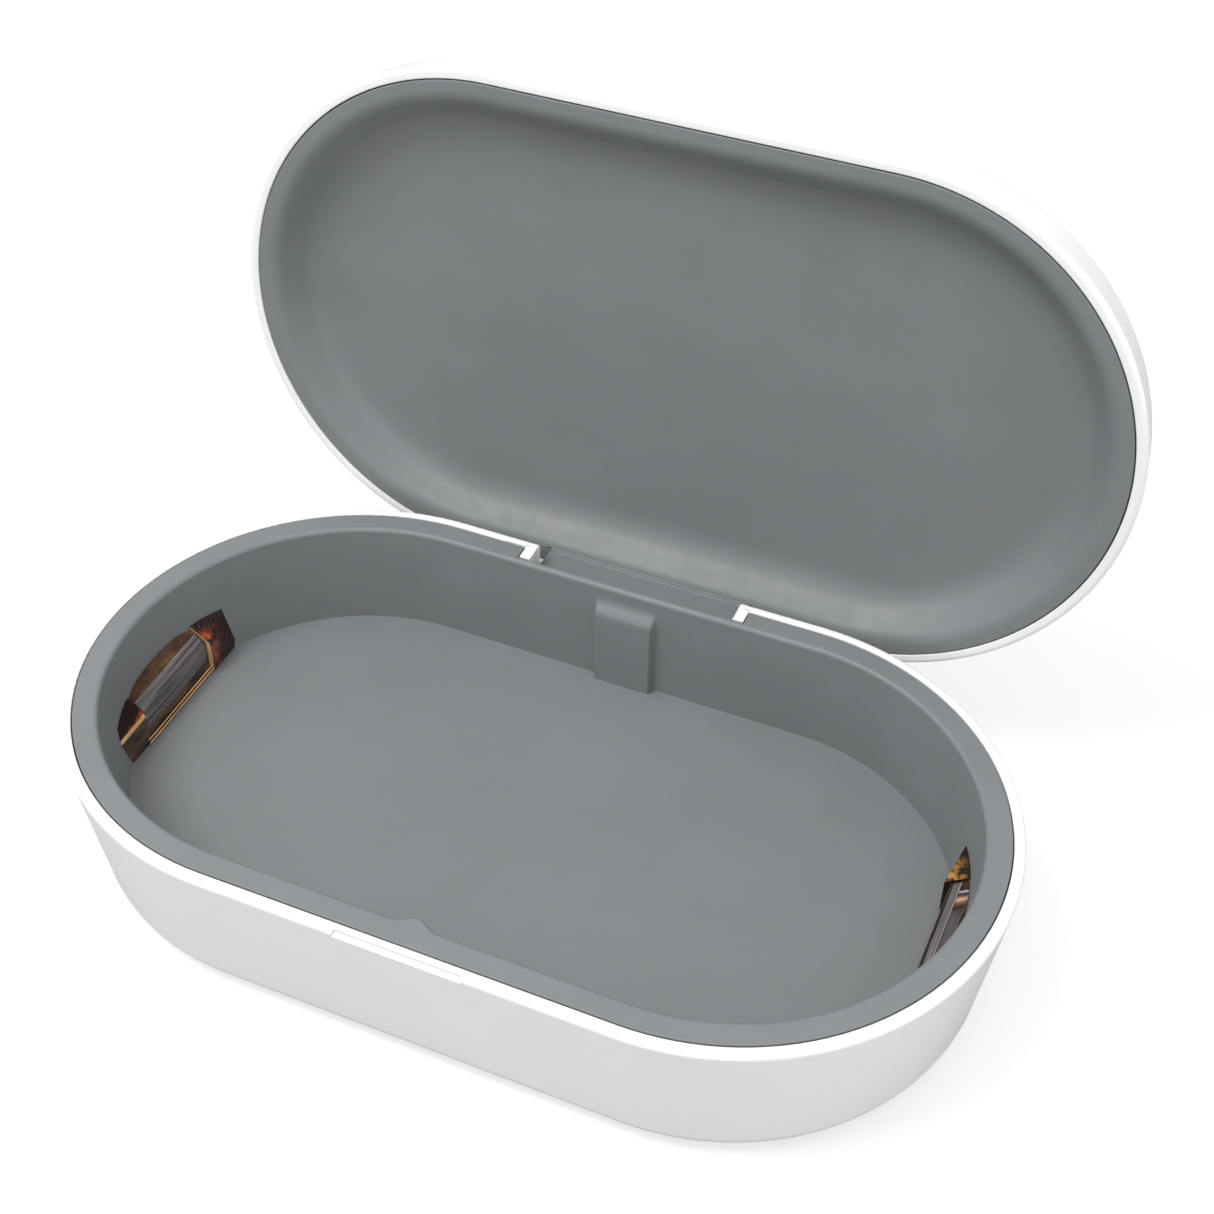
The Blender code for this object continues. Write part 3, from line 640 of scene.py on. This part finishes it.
# Middle slopes: plain amber on the left, smoke with painted glints on the right.
SLOPE = {
    -1: AMBER,
    1: smoke_and_painted_glints(
        "amber_smoke_painted_glints",
        (
            (2.0, (0.115, 0.098, 0.104)),
            (4.2, (0.085, 0.066, 0.062)),
            (5.6, (0.030, 0.018, 0.011)),
            (6.7, (0.26, 0.11, 0.045)),
            (7.7, (0.66, 0.47, 0.38)),
            (8.4, (0.34, 0.16, 0.08)),
            (9.0, (0.045, 0.035, 0.036)),
            (9.7, (0.09, 0.08, 0.09)),
            (10.1, (0.60, 0.56, 0.58)),
            (10.6, (0.022, 0.018, 0.014)),
            (12.8, (0.07, 0.035, 0.012)),
        ),
    ),
}

LOOKS = {
    "white_shell": WHITE,
    "grey_liner": GREY,
    "amber_housing": AMBER,
    "quartz": QUARTZ,
    "reflector": REFLECTOR,
    "rubber": RUBBER,
    "magnet_nickel": NICKEL,
    "steel": STEEL,
    "circuit_board": BOARD,
    "ivory_plastic": IVORY,
    "cable_jacket": CABLE,
    "black_component": BLACK,
}


# ---------------------------------------------------------------- tub
def side_r(z):
    """Outer radius of the tub's side at a height."""
    return RIM_R - TAPER * (BASE_H - EDGE_R - z)


def make_tub():
    """White tub: outer skin up, over the rolled rim, and down inside, with its cut-outs."""
    corner = (side_r(BASE_FILLET) - BASE_FILLET, BASE_FILLET)
    side_heights = [BASE_FILLET + 1 * MM, *[BASE_H - d * MM for d in (4, 3, 1.6)]]
    profile = [
        *arc(corner, BASE_FILLET, -90, 0, 12),
        *[(side_r(z), z) for z in side_heights],
        *arc((RIM_R - EDGE_R, BASE_H - EDGE_R), EDGE_R, 0, 90, 8),
        (SHELL_INNER_R + 0.6 * MM, BASE_H),
        (SHELL_INNER_R + 0.15 * MM, BASE_H),
        (SHELL_INNER_R, BASE_H - 0.15 * MM),
        (SHELL_INNER_R - 0.15 * MM, BASE_H - 3.5 * MM),
        *arc(corner, BASE_FILLET - WALL, 0, -90, 6),
    ]
    offsets = (-0.6, -0.2, 0.2, 0.6)
    beside_finger = [side * (FINGER_HALF + d * MM) for side in (-1, 1) for d in offsets]
    tub = loft("tub", profile, SIDE_STEPS + beside_finger)
    wide = NOTCH_X + EAR_T
    seat = block("tool", (-wide, SEAT_Y, NOTCH_Z - 2 * MM), (wide, EAR_BACK_Y, NOTCH_Z))
    combine(tub, seat, "UNION")
    for side in (-1, 1):
        near, far = sorted((side * NOTCH_X, side * wide))
        ear_low = (near, EAR_Y, NOTCH_Z - 0.6 * MM)
        combine(tub, block("tool", ear_low, (far, EAR_BACK_Y, BASE_H - 0.02 * MM)), "UNION")
    notch_low = (-NOTCH_X, INSIDE_Y, NOTCH_Z + 0.01 * MM)
    combine(tub, block("tool", notch_low, (NOTCH_X, OUTSIDE_Y, BASE_H + 5 * MM)), "DIFFERENCE")
    bore = rod(PIN_HOLE_R, -PIN_BORE_HALF, PIN_BORE_HALF, HINGE, (1, 0, 0), 32)
    combine(tub, bore, "DIFFERENCE")
    port_low = (-PORT_HALF, INSIDE_Y, PORT_LOW)
    port = block("tool", port_low, (PORT_HALF, 65 * MM, PORT_HIGH), PORT_ROUND, 8)
    combine(tub, port, "DIFFERENCE")
    for x in (-FOOT_X, FOOT_X):
        for y in (-FOOT_Y, FOOT_Y):
            well = rod(FOOT_WELL_R, -1 * MM, FOOT_WELL_D, (x, y, 0), (0, 0, 1), 48)
            combine(tub, well, "DIFFERENCE")
    soften(tub, 0.2 * MM)
    combine(tub, finger_tool(), "DIFFERENCE")
    reshade(tub, 30)
    place(tub, "base", "white_shell", WHITE, "base_shell")


def finger_tool():
    """Cuts the shallow step and the sloping ledge that a finger catches the lid by."""
    section = (
        (-FINGER_Y, BASE_H + 1 * MM),
        (-FINGER_Y, BASE_H - 0.15 * MM),
        (-FINGER_Y + 0.2 * MM, BASE_H - FINGER_STEP),
        (-63.2 * MM, BASE_H - FINGER_STEP - FINGER_FALL),
        (-64 * MM, BASE_H + 1 * MM),
    )
    near, far = ([(x, y, z) for y, z in section] for x in (-FINGER_HALF, FINGER_HALF))
    return bar("tool", near, far)


# ---------------------------------------------------------------- tray
def tray_relief(x, way, z):
    """How far the pads on the long walls stand out: a raised pad behind, a soft bump in front."""
    if way > 0:
        middle = PAD_LEAN * (BASE_H - z) / (BASE_H - TRAY_Z)
        across = ease((PAD_HALF - abs(x - middle)) / PAD_FLANK)
        down = ease((PAD_TOP - z) / PAD_TOP_EASE)
        return PAD_PROUD * across * down
    return BUMP_PROUD * ease((BUMP_HALF - abs(x)) / BUMP_HALF)


def make_tray():
    """Grey tray with a flat rim, sloping walls, a nearly sharp crease and the two pads."""
    crease = arc((CAVITY_FLOOR_R - CREASE_R, TRAY_Z + CREASE_R), CREASE_R, -7, -90, 10)
    edge_r = 1.1 * MM
    rim = arc((CAVITY_TOP_R + edge_r, BASE_H - edge_r), edge_r, 90, 187, 8)
    outside = [
        (48.5 * MM, TRAY_Z - 2.0 * MM),
        (50.6 * MM, TRAY_Z - 1.4 * MM),
        (51.9 * MM, TRAY_Z + 0.6 * MM),
        (CAVITY_TOP_R + LINER_T - 0.1 * MM, BASE_H - FLANGE_T),
        (LINER_R, BASE_H - FLANGE_T),
        *arc((LINER_R - 0.3 * MM, BASE_H - 0.3 * MM), 0.3 * MM, 0, 90, 3),
    ]
    wall = []
    top, low = rim[-1], crease[0]
    steps = 26
    for k in range(1, steps):
        share = k / steps
        wall.append((top[0] + (low[0] - top[0]) * share, top[1] + (low[1] - top[1]) * share))
    fine = [k * 0.25 * MM for k in range(-44, 45)] + [x for x in SIDE_STEPS if abs(x) > 11 * MM]
    profile = [*outside, *rim, *wall, *crease]
    tray = loft("tray", profile, fine, tray_relief, len(outside))
    wide = NOTCH_X + EAR_T + 0.3 * MM
    notch_low = (-wide, TRAY_NOTCH_Y, NOTCH_Z - 6 * MM)
    combine(tray, block("tool", notch_low, (wide, OUTSIDE_Y, BASE_H + 2 * MM)), "DIFFERENCE")
    half = 15.6 * MM
    for side in (-1, 1):
        near, far = sorted((side * 89 * MM, side * 101 * MM))
        opening = block("tool", (near, -half, 16.0 * MM), (far, half, 24.4 * MM))
        combine(tray, opening, "DIFFERENCE")
    reshade(tray)
    place(tray, "base", "grey_liner", GREY, "base_liner")


# ---------------------------------------------------------------- lid
def make_lid_cap():
    """White lid: top with a wide fillet, side, rolled rim and the inside, with the hinge skin."""
    z = LID_RIM_Z
    fillet_r = RIM_R - TAPER * (LID_H - EDGE_R - LID_FILLET)
    centre = (fillet_r - LID_FILLET, z + LID_H - LID_FILLET)
    profile = [
        *arc(centre, LID_FILLET, 90, 0, 16),
        *arc((RIM_R - EDGE_R, z + EDGE_R), EDGE_R, 0, -90, 8),
        (SHELL_INNER_R + 0.15 * MM, z),
        (SHELL_INNER_R, z + 0.15 * MM),
        (SHELL_INNER_R - 0.1 * MM, z + 3.5 * MM),
        *arc(centre, LID_FILLET - WALL, 0, 90, 8),
    ]
    cap = loft("lid_cap", profile, SIDE_STEPS)
    half = NOTCH_X - 0.4 * MM
    skin_low = (-half, SKIN_Y, HINGE.z + 0.3 * MM)
    combine(cap, block("tool", skin_low, (half, HINGE.y + BARREL_R, z + 2 * MM)), "UNION")
    soften(cap, 0.2 * MM)
    open_lid(cap)
    place(cap, "lid", "white_shell", WHITE, "lid_shell")


def make_lid_dish():
    """Grey dish: band, cone, bowl and flat middle, with the hinge lug behind."""
    z = LID_RIM_Z
    wide = DISH_R - DISH_FLAT_R + LINER_T
    deep = DISH_D + LINER_T
    hidden = []
    for k in range(9):
        a = math.radians(90 - (90 - 10.4) * k / 8)
        hidden.append((DISH_FLAT_R + wide * math.cos(a), z + deep * math.sin(a)))
    slope = math.radians(DISH_SLOPE)
    edge_r = (BAND_R - CONE_R) / math.sin(slope)
    edge = arc((BAND_R, z + edge_r), edge_r, -90, -90 - DISH_SLOPE, 12)
    start_z = edge[-1][1]
    bowl_z = start_z + (CONE_R - BOWL_R) * math.tan(slope)
    dish = []
    for k in range(1, 4):
        dish.append((CONE_R + (BOWL_R - CONE_R) * k / 4, start_z + (bowl_z - start_z) * k / 4))
    steps = 24
    step_r = (BOWL_R - BOWL_FLAT_R) / steps
    for k in range(steps):
        dish.append((BOWL_R - step_r * k, bowl_z))
        bowl_z += step_r * math.tan(slope * (1 - (k + 0.5) / steps) ** BOWL_EASE)
    dish.append((BOWL_FLAT_R, bowl_z))
    profile = [
        *hidden,
        (LINER_R, z + FLANGE_T),
        *arc((LINER_R - 0.3 * MM, z + 0.3 * MM), 0.3 * MM, 0, -90, 3),
        *edge,
        *dish,
    ]
    liner = loft("lid_dish", profile, SIDE_STEPS)
    half = NOTCH_X - 0.2 * MM
    web = block("tool", (-half, HINGE.y - BARREL_R, HINGE.z), (half, LINER_R, z + 1 * MM))
    combine(liner, web, "UNION")
    lip = HINGE.y - BARREL_R
    bead_low = (-half + 1.2 * MM, lip - BEAD_PROUD, z - 0.85 * MM)
    bead_high = (half - 0.6 * MM, lip + 0.5 * MM, z - 0.2 * MM)
    combine(liner, block("tool", bead_low, bead_high), "UNION")
    combine(liner, rod(BARREL_R, -half, half, HINGE, (1, 0, 0), 64), "UNION")
    trim_half = half + 0.3 * MM
    trim = block("tool", (-trim_half, SKIN_Y - 0.2 * MM, HINGE.z), (trim_half, 65 * MM, z))
    combine(liner, trim, "DIFFERENCE")
    soften(liner, 0.25 * MM)
    open_lid(liner)
    place(liner, "lid", "grey_liner", GREY, "lid_liner")


# ---------------------------------------------------------------- lamps
def hull(name, points, side):
    """Convex block round points of the right-hand end, mirrored for the left-hand one."""
    bm = bmesh.new()
    for x, y, z in points:
        bm.verts.new((side * x, y, z))
    made = bmesh.ops.convex_hull(bm, input=bm.verts)
    spare = [g for g in made["geom_interior"] if isinstance(g, bmesh.types.BMVert)]
    bmesh.ops.delete(bm, geom=spare, context="VERTS")
    bmesh.ops.dissolve_limit(bm, angle_limit=math.radians(0.3), verts=bm.verts, edges=bm.edges)
    return new_piece(name, bm)


def prism(name, section, half, side):
    """Extrudes an (x, z) section of the right-hand end along Y, to both sides of the middle."""
    near, far = ([(side * x, y, z) for x, z in section] for y in (-half, half))
    return bar(name, near, far)


def bevel_edge(piece, side, start, end, width):
    """Bevels one straight edge of a hull and gives the strip the bright edge material, a painted highlight."""
    a, b = (Vector((side * x, y, z)) for x, y, z in (start, end))
    weights = piece.data.attributes.new("bevel_weight_edge", "FLOAT", "EDGE")
    for edge in piece.data.edges:
        p, q = (piece.data.vertices[k].co for k in edge.vertices)
        if min((p - a).length + (q - b).length, (p - b).length + (q - a).length) < 0.1 * MM:
            weights.data[edge.index].value = 1.0
    strip = piece.modifiers.new("ridge", "BEVEL")
    strip.width = width
    strip.segments = 2
    strip.limit_method = "WEIGHT"
    strip.material = EDGE
    bake(piece)
    piece.data.attributes.remove(piece.data.attributes["bevel_weight_edge"])


def amber_hull(points, side):
    """Block of a housing. All blocks have the same slots, so that they keep them when joined."""
    piece = hull("tool", points, side)
    for look in (AMBER, AMBER_EDGE_HIGHLIGHT, FAR_GLOW[side], NEAR_GLOW, SLOPE[side], FAR_FACE[side]):
        piece.data.materials.append(look)
    return piece


def is_slope(face, side):
    """True for a face that looks up and towards the middle of the box."""
    return face.normal.z > 0.3 and face.normal.x * side < -0.2


def cover_end(side, way):
    """End block of a housing: it stands proud of the middle, which leaves a step face, coloured with the painted
    highlight of the edges, but with painted shade on the right-hand far block.

    way is -1 for the block at the front of the box and 1 for the one at the back.
    """
    x = LAMP_X - (FAR_PROUD if way > 0 else NEAR_PROUD)
    inner, outer, top_outer = way * LAMP_HALF, way * END_OUTER, way * END_TOP_OUTER
    high, low = LAMP_TOP + 0.3 * MM, LAMP_TOP - 0.3 * MM
    ridge = ((x, inner, LAMP_CREASE - 0.2 * MM), (x, outer, LAMP_CREASE - 0.4 * MM))
    if way > 0:
        ridge = (ridge[0], (93.2 * MM, 24 * MM, LAMP_CREASE + 1.6 * MM))
    points = [
        (x, inner, LAMP_LOW),
        (x, outer, LAMP_LOW),
        *ridge,
        (96.9 * MM, inner, high),
        (93.3 * MM, top_outer, low),
        (LAMP_BACK, inner, high),
        (LAMP_BACK, top_outer, low),
        (LAMP_BACK, inner, LAMP_LOW),
        (LAMP_BACK, outer, LAMP_LOW),
    ]
    piece = amber_hull(points, side)
    # Step faces take the painted highlight of the edges, apart from the far end faces with their painted shade
    # (right) and painted glow (left); slopes take painted glow.
    for face in piece.data.polygons:
        if face.normal.y * way < -0.99:
            face.material_index = END_FACE if way > 0 and side > 0 else EDGE
        elif is_slope(face, side):
            face.material_index = FAR_TOP if way > 0 else NEAR_TOP
        elif face.normal.x * side < -0.6 and way > 0 and side < 0:
            face.material_index = END_FACE
    bevel_edge(piece, side, *ridge, (0.62 if way < 0 else 0.3) * MM)
    return piece


def cover_hollow(side):
    """The room for the tube inside a housing, open towards the tray's wall and floor."""
    x = LAMP_X + LAMP_WALL
    low = LAMP_LOW - 0.5 * MM
    points = []
    for way in (-1, 1):
        points += [
            (x, way * 24 * MM, low),
            (x, way * 24 * MM, LAMP_CREASE - 1.0 * MM),
            (95.2 * MM, way * 20 * MM, 22.2 * MM),
            (98.2 * MM, way * 11 * MM, LAMP_TOP - 1.1 * MM),
            (103 * MM, way * 11 * MM, LAMP_TOP - 1.0 * MM),
            (103 * MM, way * 21 * MM, low),
        ]
    return hull("tool", points, side)


def make_cover(side, label):
    """Amber housing: a low plinth, a middle behind the window, an end block each side."""
    foot_x = LAMP_X - PLINTH_PROUD
    foot_top = LAMP_LOW + PLINTH_H
    sill_x = foot_x - SILL_PROUD
    sill_top = LAMP_LOW + SILL_H
    plinth = []
    sill = []
    middle = []
    for way in (-1, 1):
        for step, x, top in ((plinth, foot_x, foot_top), (sill, sill_x, sill_top)):
            step += [(px, way * PLINTH_HALF, z) for px in (x, LAMP_BACK) for z in (LAMP_LOW, top)]
        y = way * MIDDLE_HALF
        middle += [
            (LAMP_X + 0.05 * MM, y, LAMP_LOW),
            (LAMP_X + 0.2 * MM, y, LAMP_CREASE),
            (97.5 * MM, y, LAMP_TOP),
            (LAMP_BACK, y, LAMP_TOP),
            (LAMP_BACK, y, LAMP_LOW),
        ]
    cover = amber_hull(middle, side)
    cover.name = f"cover_{label}"
    for face in cover.data.polygons:
        if is_slope(face, side):
            face.material_index = MIDDLE_TOP
    for points, x, z in ((plinth, foot_x, foot_top), (sill, sill_x, sill_top)):
        step = amber_hull(points, side)
        bevel_edge(step, side, (x, -PLINTH_HALF, z), (x, PLINTH_HALF, z), 0.18 * MM)
        combine(cover, step, "UNION")
    for way in (-1, 1):
        combine(cover, cover_end(side, way), "UNION")
    gap = 0.05 * MM
    crease = arc((CAVITY_FLOOR_R - CREASE_R, TRAY_Z + CREASE_R), CREASE_R - gap, -90, -7, 6)
    combine(cover, loft("tool", [*crease, (CAVITY_TOP_R - gap, BASE_H)]), "INTERSECT")
    combine(cover, cover_hollow(side), "DIFFERENCE")
    crown_x, crown = WINDOW_CROWN
    low = WINDOW_FOOT - 0.1 * MM
    aperture = [
        (LAMP_X - 3 * MM, low),
        (LAMP_X - 3 * MM, crown + 3 * MM),
        (crown_x - 2.1 * MM, crown + 2.1 * MM),
        (crown_x + 1.9 * MM, crown - 1.9 * MM),
        (LAMP_X + 3 * MM, low),
    ]
    combine(cover, prism("tool", aperture, WINDOW_HALF + 0.1 * MM, side), "DIFFERENCE")
    reshade(cover, 12)
    place(cover, "base", "amber_housing", None, f"lamp_cover_{label}")


def window_section():
    """Outer face with fine lengthwise ribs round a soft knee, then the smooth inner face."""
    crown_x, crown = WINDOW_CROWN
    knee = Vector((LAMP_X + 0.15 * MM, LAMP_CREASE))
    foot = Vector((LAMP_X, WINDOW_FOOT))
    top = Vector((crown_x, crown))
    turn_in = knee + (foot - knee).normalized() * KNEE_ROUND
    turn_out = knee + (top - knee).normalized() * KNEE_ROUND
    path = []
    for k in range(41):
        path.append(foot.lerp(turn_in, k / 40))
    for k in range(1, 21):
        t = k / 21
        path.append((1 - t) ** 2 * turn_in + 2 * t * (1 - t) * knee + t * t * turn_out)
    for k in range(26):
        path.append(turn_out.lerp(top, k / 25))
    outer = []
    inner = []
    run = 0
    for k, point in enumerate(path):
        before, after = path[max(k - 1, 0)], path[min(k + 1, len(path) - 1)]
        along = (after - before).normalized()
        inward = Vector((along.y, -along.x))
        if k:
            run += (point - path[k - 1]).length
        rib = RIB_H * 0.5 * (1 - math.cos(2 * math.pi * run / RIB_PITCH))
        outer.append(tuple(point + inward * rib))
        if k % 6 == 0 or k == len(path) - 1:
            inner.append(tuple(point + inward * WINDOW_T))
    return [*outer, *reversed(inner)]


def make_window(side, label):
    """Bent pane, with a painted highlight on its upper end and the part below the bend in its own look, which on
    the right-hand pane is painted shade.
    """
    pane = prism(f"window_{label}", window_section(), WINDOW_HALF, side)
    for look in (PANE, PANE_EDGE_HIGHLIGHT, PANE_KNEE[side]):
        pane.data.materials.append(look)
    lip_z = WINDOW_CROWN[1] - 0.2 * MM
    knee_z = LAMP_CREASE + 0.55 * MM
    for face in pane.data.polygons:
        if abs(face.normal.y) > 0.5:
            continue
        # Faces along the upper end take the painted highlight; faces below the bend take the knee look.
        if face.center.z > lip_z:
            face.material_index = PANE_LIP
        elif face.center.z < knee_z:
            face.material_index = PANE_BEND
    place(pane, "base", "quartz", None, f"lamp_window_{label}")


def make_lamp_inside(side, label):
    """Quartz tube, its bright trough and the two soft blocks that hold it."""
    bulb = arc((0, TUBE_HALF - TUBE_R), TUBE_R, 90, 0, 10)
    profile = [(r, -h) for r, h in bulb] + [(r, h) for r, h in reversed(bulb)]
    profile[0] = (0, profile[0][1])
    profile[-1] = (0, profile[-1][1])
    tube = lathe(f"tube_{label}", profile, (side * TUBE_X, 0, TUBE_Z), (0, 1, 0), 56)
    place(tube, "base", "quartz", QUARTZ, f"uvc_tube_{label}")
    outer = arc((TUBE_X, TUBE_Z), TROUGH_R[1], -80, 80, 40)
    inner = arc((TUBE_X, TUBE_Z), TROUGH_R[0], 80, -80, 40)
    trough = prism(f"reflector_{label}", [*outer, *inner], TROUGH_HALF, side)
    place(trough, "base", "reflector", REFLECTOR, f"lamp_reflector_{label}")
    for way, word in ((-1, "front"), (1, "back")):
        near, far = sorted(side * x for x in GROMMET_X)
        low, high = sorted(way * y for y in GROMMET_Y)
        grommet_low, grommet_high = (near, low, GROMMET_Z[0]), (far, high, GROMMET_Z[1])
        grommet = block(f"grommet_{label}_{word}", grommet_low, grommet_high, 0.35 * MM, 4)
        centre = (side * TUBE_X, way * 13.4 * MM, TUBE_Z)
        hole = rod(TUBE_R + 0.3 * MM, -1.3 * MM, 1.3 * MM, centre, (0, 1, 0), 48)
        combine(grommet, hole, "DIFFERENCE")
        reshade(grommet)
        place(grommet, "base", "rubber", RUBBER, f"tube_grommet_{label}_{word}")


# ---------------------------------------------------------------- small parts
def make_feet():
    """Rubber feet with a rounded edge and a shallow dish in the sole."""
    for label, x in (("left", -FOOT_X), ("right", FOOT_X)):
        for word, y in (("front", -FOOT_Y), ("back", FOOT_Y)):
            profile = [
                (0, -1.0 * MM),
                (2.8 * MM, -1.0 * MM),
                (3.2 * MM, -1.2 * MM),
                *arc((4.4 * MM, -0.6 * MM), 0.6 * MM, -90, 0, 8),
                (5.0 * MM, 0.4 * MM),
                (4.9 * MM, 0.5 * MM),
                (0, 0.5 * MM),
            ]
            foot = lathe(f"foot_{label}_{word}_rubber", profile, (x, y, 0), (0, 0, 1), 72)
            place(foot, "base", "rubber", RUBBER, f"foot_{label}_{word}")


def make_pins():
    """Hinge pins with a rounded inner end and a chamfered outer one."""
    end_r = 0.3 * MM
    flat_r = PIN_R - end_r
    for side, label in ((-1, "left"), (1, "right")):
        profile = [(0, 0), (flat_r, 0), *arc((flat_r, end_r), end_r, -90, 0, 5)]
        profile += [(PIN_R, PIN_LENGTH - end_r), (flat_r, PIN_LENGTH), (0, PIN_LENGTH)]
        start = side * (NOTCH_X + EAR_T - PIN_LENGTH)
        pin = lathe(f"pin_{label}", profile, (start, HINGE.y, HINGE.z), (side, 0, 0), 40)
        place(pin, "base", "steel", STEEL, f"hinge_pin_{label}")


def make_socket():
    """Power inlet: drawn metal shell with an open mouth and the contact tongue inside."""
    low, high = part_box("usb_c_socket")
    shell = block("socket", low, high, 1.35 * MM, 10)
    wall = 0.35 * MM
    mouth_low = (low.x + wall, low.y + 1.8 * MM, low.z + wall)
    mouth_high = (high.x - wall, high.y + 2 * MM, high.z - wall)
    combine(shell, block("tool", mouth_low, mouth_high, 1.05 * MM, 10), "DIFFERENCE")
    middle = (low.z + high.z) / 2
    tongue_low = (-3.3 * MM, low.y + 1.4 * MM, middle - 0.35 * MM)
    tongue_high = (3.3 * MM, high.y - 0.8 * MM, middle + 0.35 * MM)
    combine(shell, block("tool", tongue_low, tongue_high, 0.12 * MM, 2), "UNION")
    reshade(shell)
    place(shell, "base", "steel", STEEL, "usb_c_socket")


# ---------------------------------------------------------------- stage
def floor_look():
    """Plain white floor that throws less light back on the box than it shows to the eye."""
    made, tree, shader = shader_of("floor_white")
    shader.inputs["Base Color"].default_value = (0.38, 0.38, 0.38, 1)
    shader.inputs["Roughness"].default_value = 0.9
    shader.inputs["Specular IOR Level"].default_value = 0.1
    shine = tree.nodes.new("ShaderNodeEmission")
    shine.inputs["Strength"].default_value = 0.62
    seen = tree.nodes.new("ShaderNodeLightPath")
    both = tree.nodes.new("ShaderNodeAddShader")
    pick = tree.nodes.new("ShaderNodeMixShader")
    tree.links.new(shader.outputs["BSDF"], both.inputs[0])
    tree.links.new(shine.outputs["Emission"], both.inputs[1])
    tree.links.new(seen.outputs["Is Camera Ray"], pick.inputs["Fac"])
    tree.links.new(shader.outputs["BSDF"], pick.inputs[1])
    tree.links.new(both.outputs["Shader"], pick.inputs[2])
    tree.links.new(pick.outputs["Shader"], tree.nodes["Material Output"].inputs["Surface"])
    return made


def make_stage():
    """White floor, even white surroundings and five soft lights."""
    bm = bmesh.new()
    bmesh.ops.create_grid(bm, x_segments=1, y_segments=1, size=6)
    floor = new_piece("floor", bm)
    foot_low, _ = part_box("foot_left_front")
    floor.location.z = foot_low.z
    floor.data.materials.append(floor_look())

    world = bpy.data.worlds.new("studio")
    bpy.context.scene.world = world
    world.use_nodes = True
    world.node_tree.nodes["Background"].inputs["Color"].default_value = (1, 1, 1, 1)
    world.node_tree.nodes["Background"].inputs["Strength"].default_value = 0.78

    # Name, place in m, width in m, power in W. All point at the box.
    lamps = (
        ("key", (-0.45, -0.35, 1.15), 0.5, 8.9),
        ("top", (0.0, 0.0, 1.3), 1.0, 3.0),
        ("right", (1.35, 0.0, 0.12), 0.8, 6.0),
        ("left", (-1.35, -0.15, 0.12), 0.8, 1.5),
        ("front", (0.35, -1.3, 0.15), 0.8, 2.4),
    )
    for name, where, size, power in lamps:
        light = bpy.data.lights.new(name, "AREA")
        light.size = size
        light.energy = power
        lamp = bpy.data.objects.new(name, light)
        lamp.location = where
        aim = Vector((0, 0.02, 0.05)) - Vector(where)
        lamp.rotation_euler = aim.to_track_quat("-Z", "Y").to_euler()
        bpy.context.scene.collection.objects.link(lamp)
    bpy.context.scene.view_settings.view_transform = "Standard"


def make_camera():
    """The photo's camera: yaw from +Y towards +X, downward pitch and roll, in radians."""
    yaw, pitch, roll = -0.4016, 0.7384, 0.0106
    flat = math.cos(pitch)
    forward = Vector((math.sin(yaw) * flat, math.cos(yaw) * flat, -math.sin(pitch)))
    level = Vector((math.cos(yaw), -math.sin(yaw), 0))
    up = level.cross(forward)
    right = math.cos(roll) * level + math.sin(roll) * up
    top = -math.sin(roll) * level + math.cos(roll) * up
    lens = bpy.data.cameras.new("camera")
    lens.lens = 57.98
    lens.clip_start = 0.01
    camera = bpy.data.objects.new("camera", lens)
    camera.matrix_world = Matrix.Translation((0.12988, -0.26347, 0.34552)) @ Matrix(
        (
            (right.x, top.x, -forward.x, 0),
            (right.y, top.y, -forward.y, 0),
            (right.z, top.z, -forward.z, 0),
            (0, 0, 0, 1),
        )
    )
    bpy.context.scene.collection.objects.link(camera)
    bpy.context.scene.camera = camera


for node, piece in frame["nodes"].items():
    slot = next(s["material_slot"] for s in frame["record"]["subparts"] if s["node"] == node)
    piece.data.materials.clear()
    piece.data.materials.append(LOOKS[slot])

make_camera()
make_stage()
make_tub()
make_tray()
make_lid_cap()
make_lid_dish()
for lamp_side, lamp_label in ((-1, "left"), (1, "right")):
    make_cover(lamp_side, lamp_label)
    make_window(lamp_side, lamp_label)
    make_lamp_inside(lamp_side, lamp_label)
make_feet()
make_pins()
make_socket()
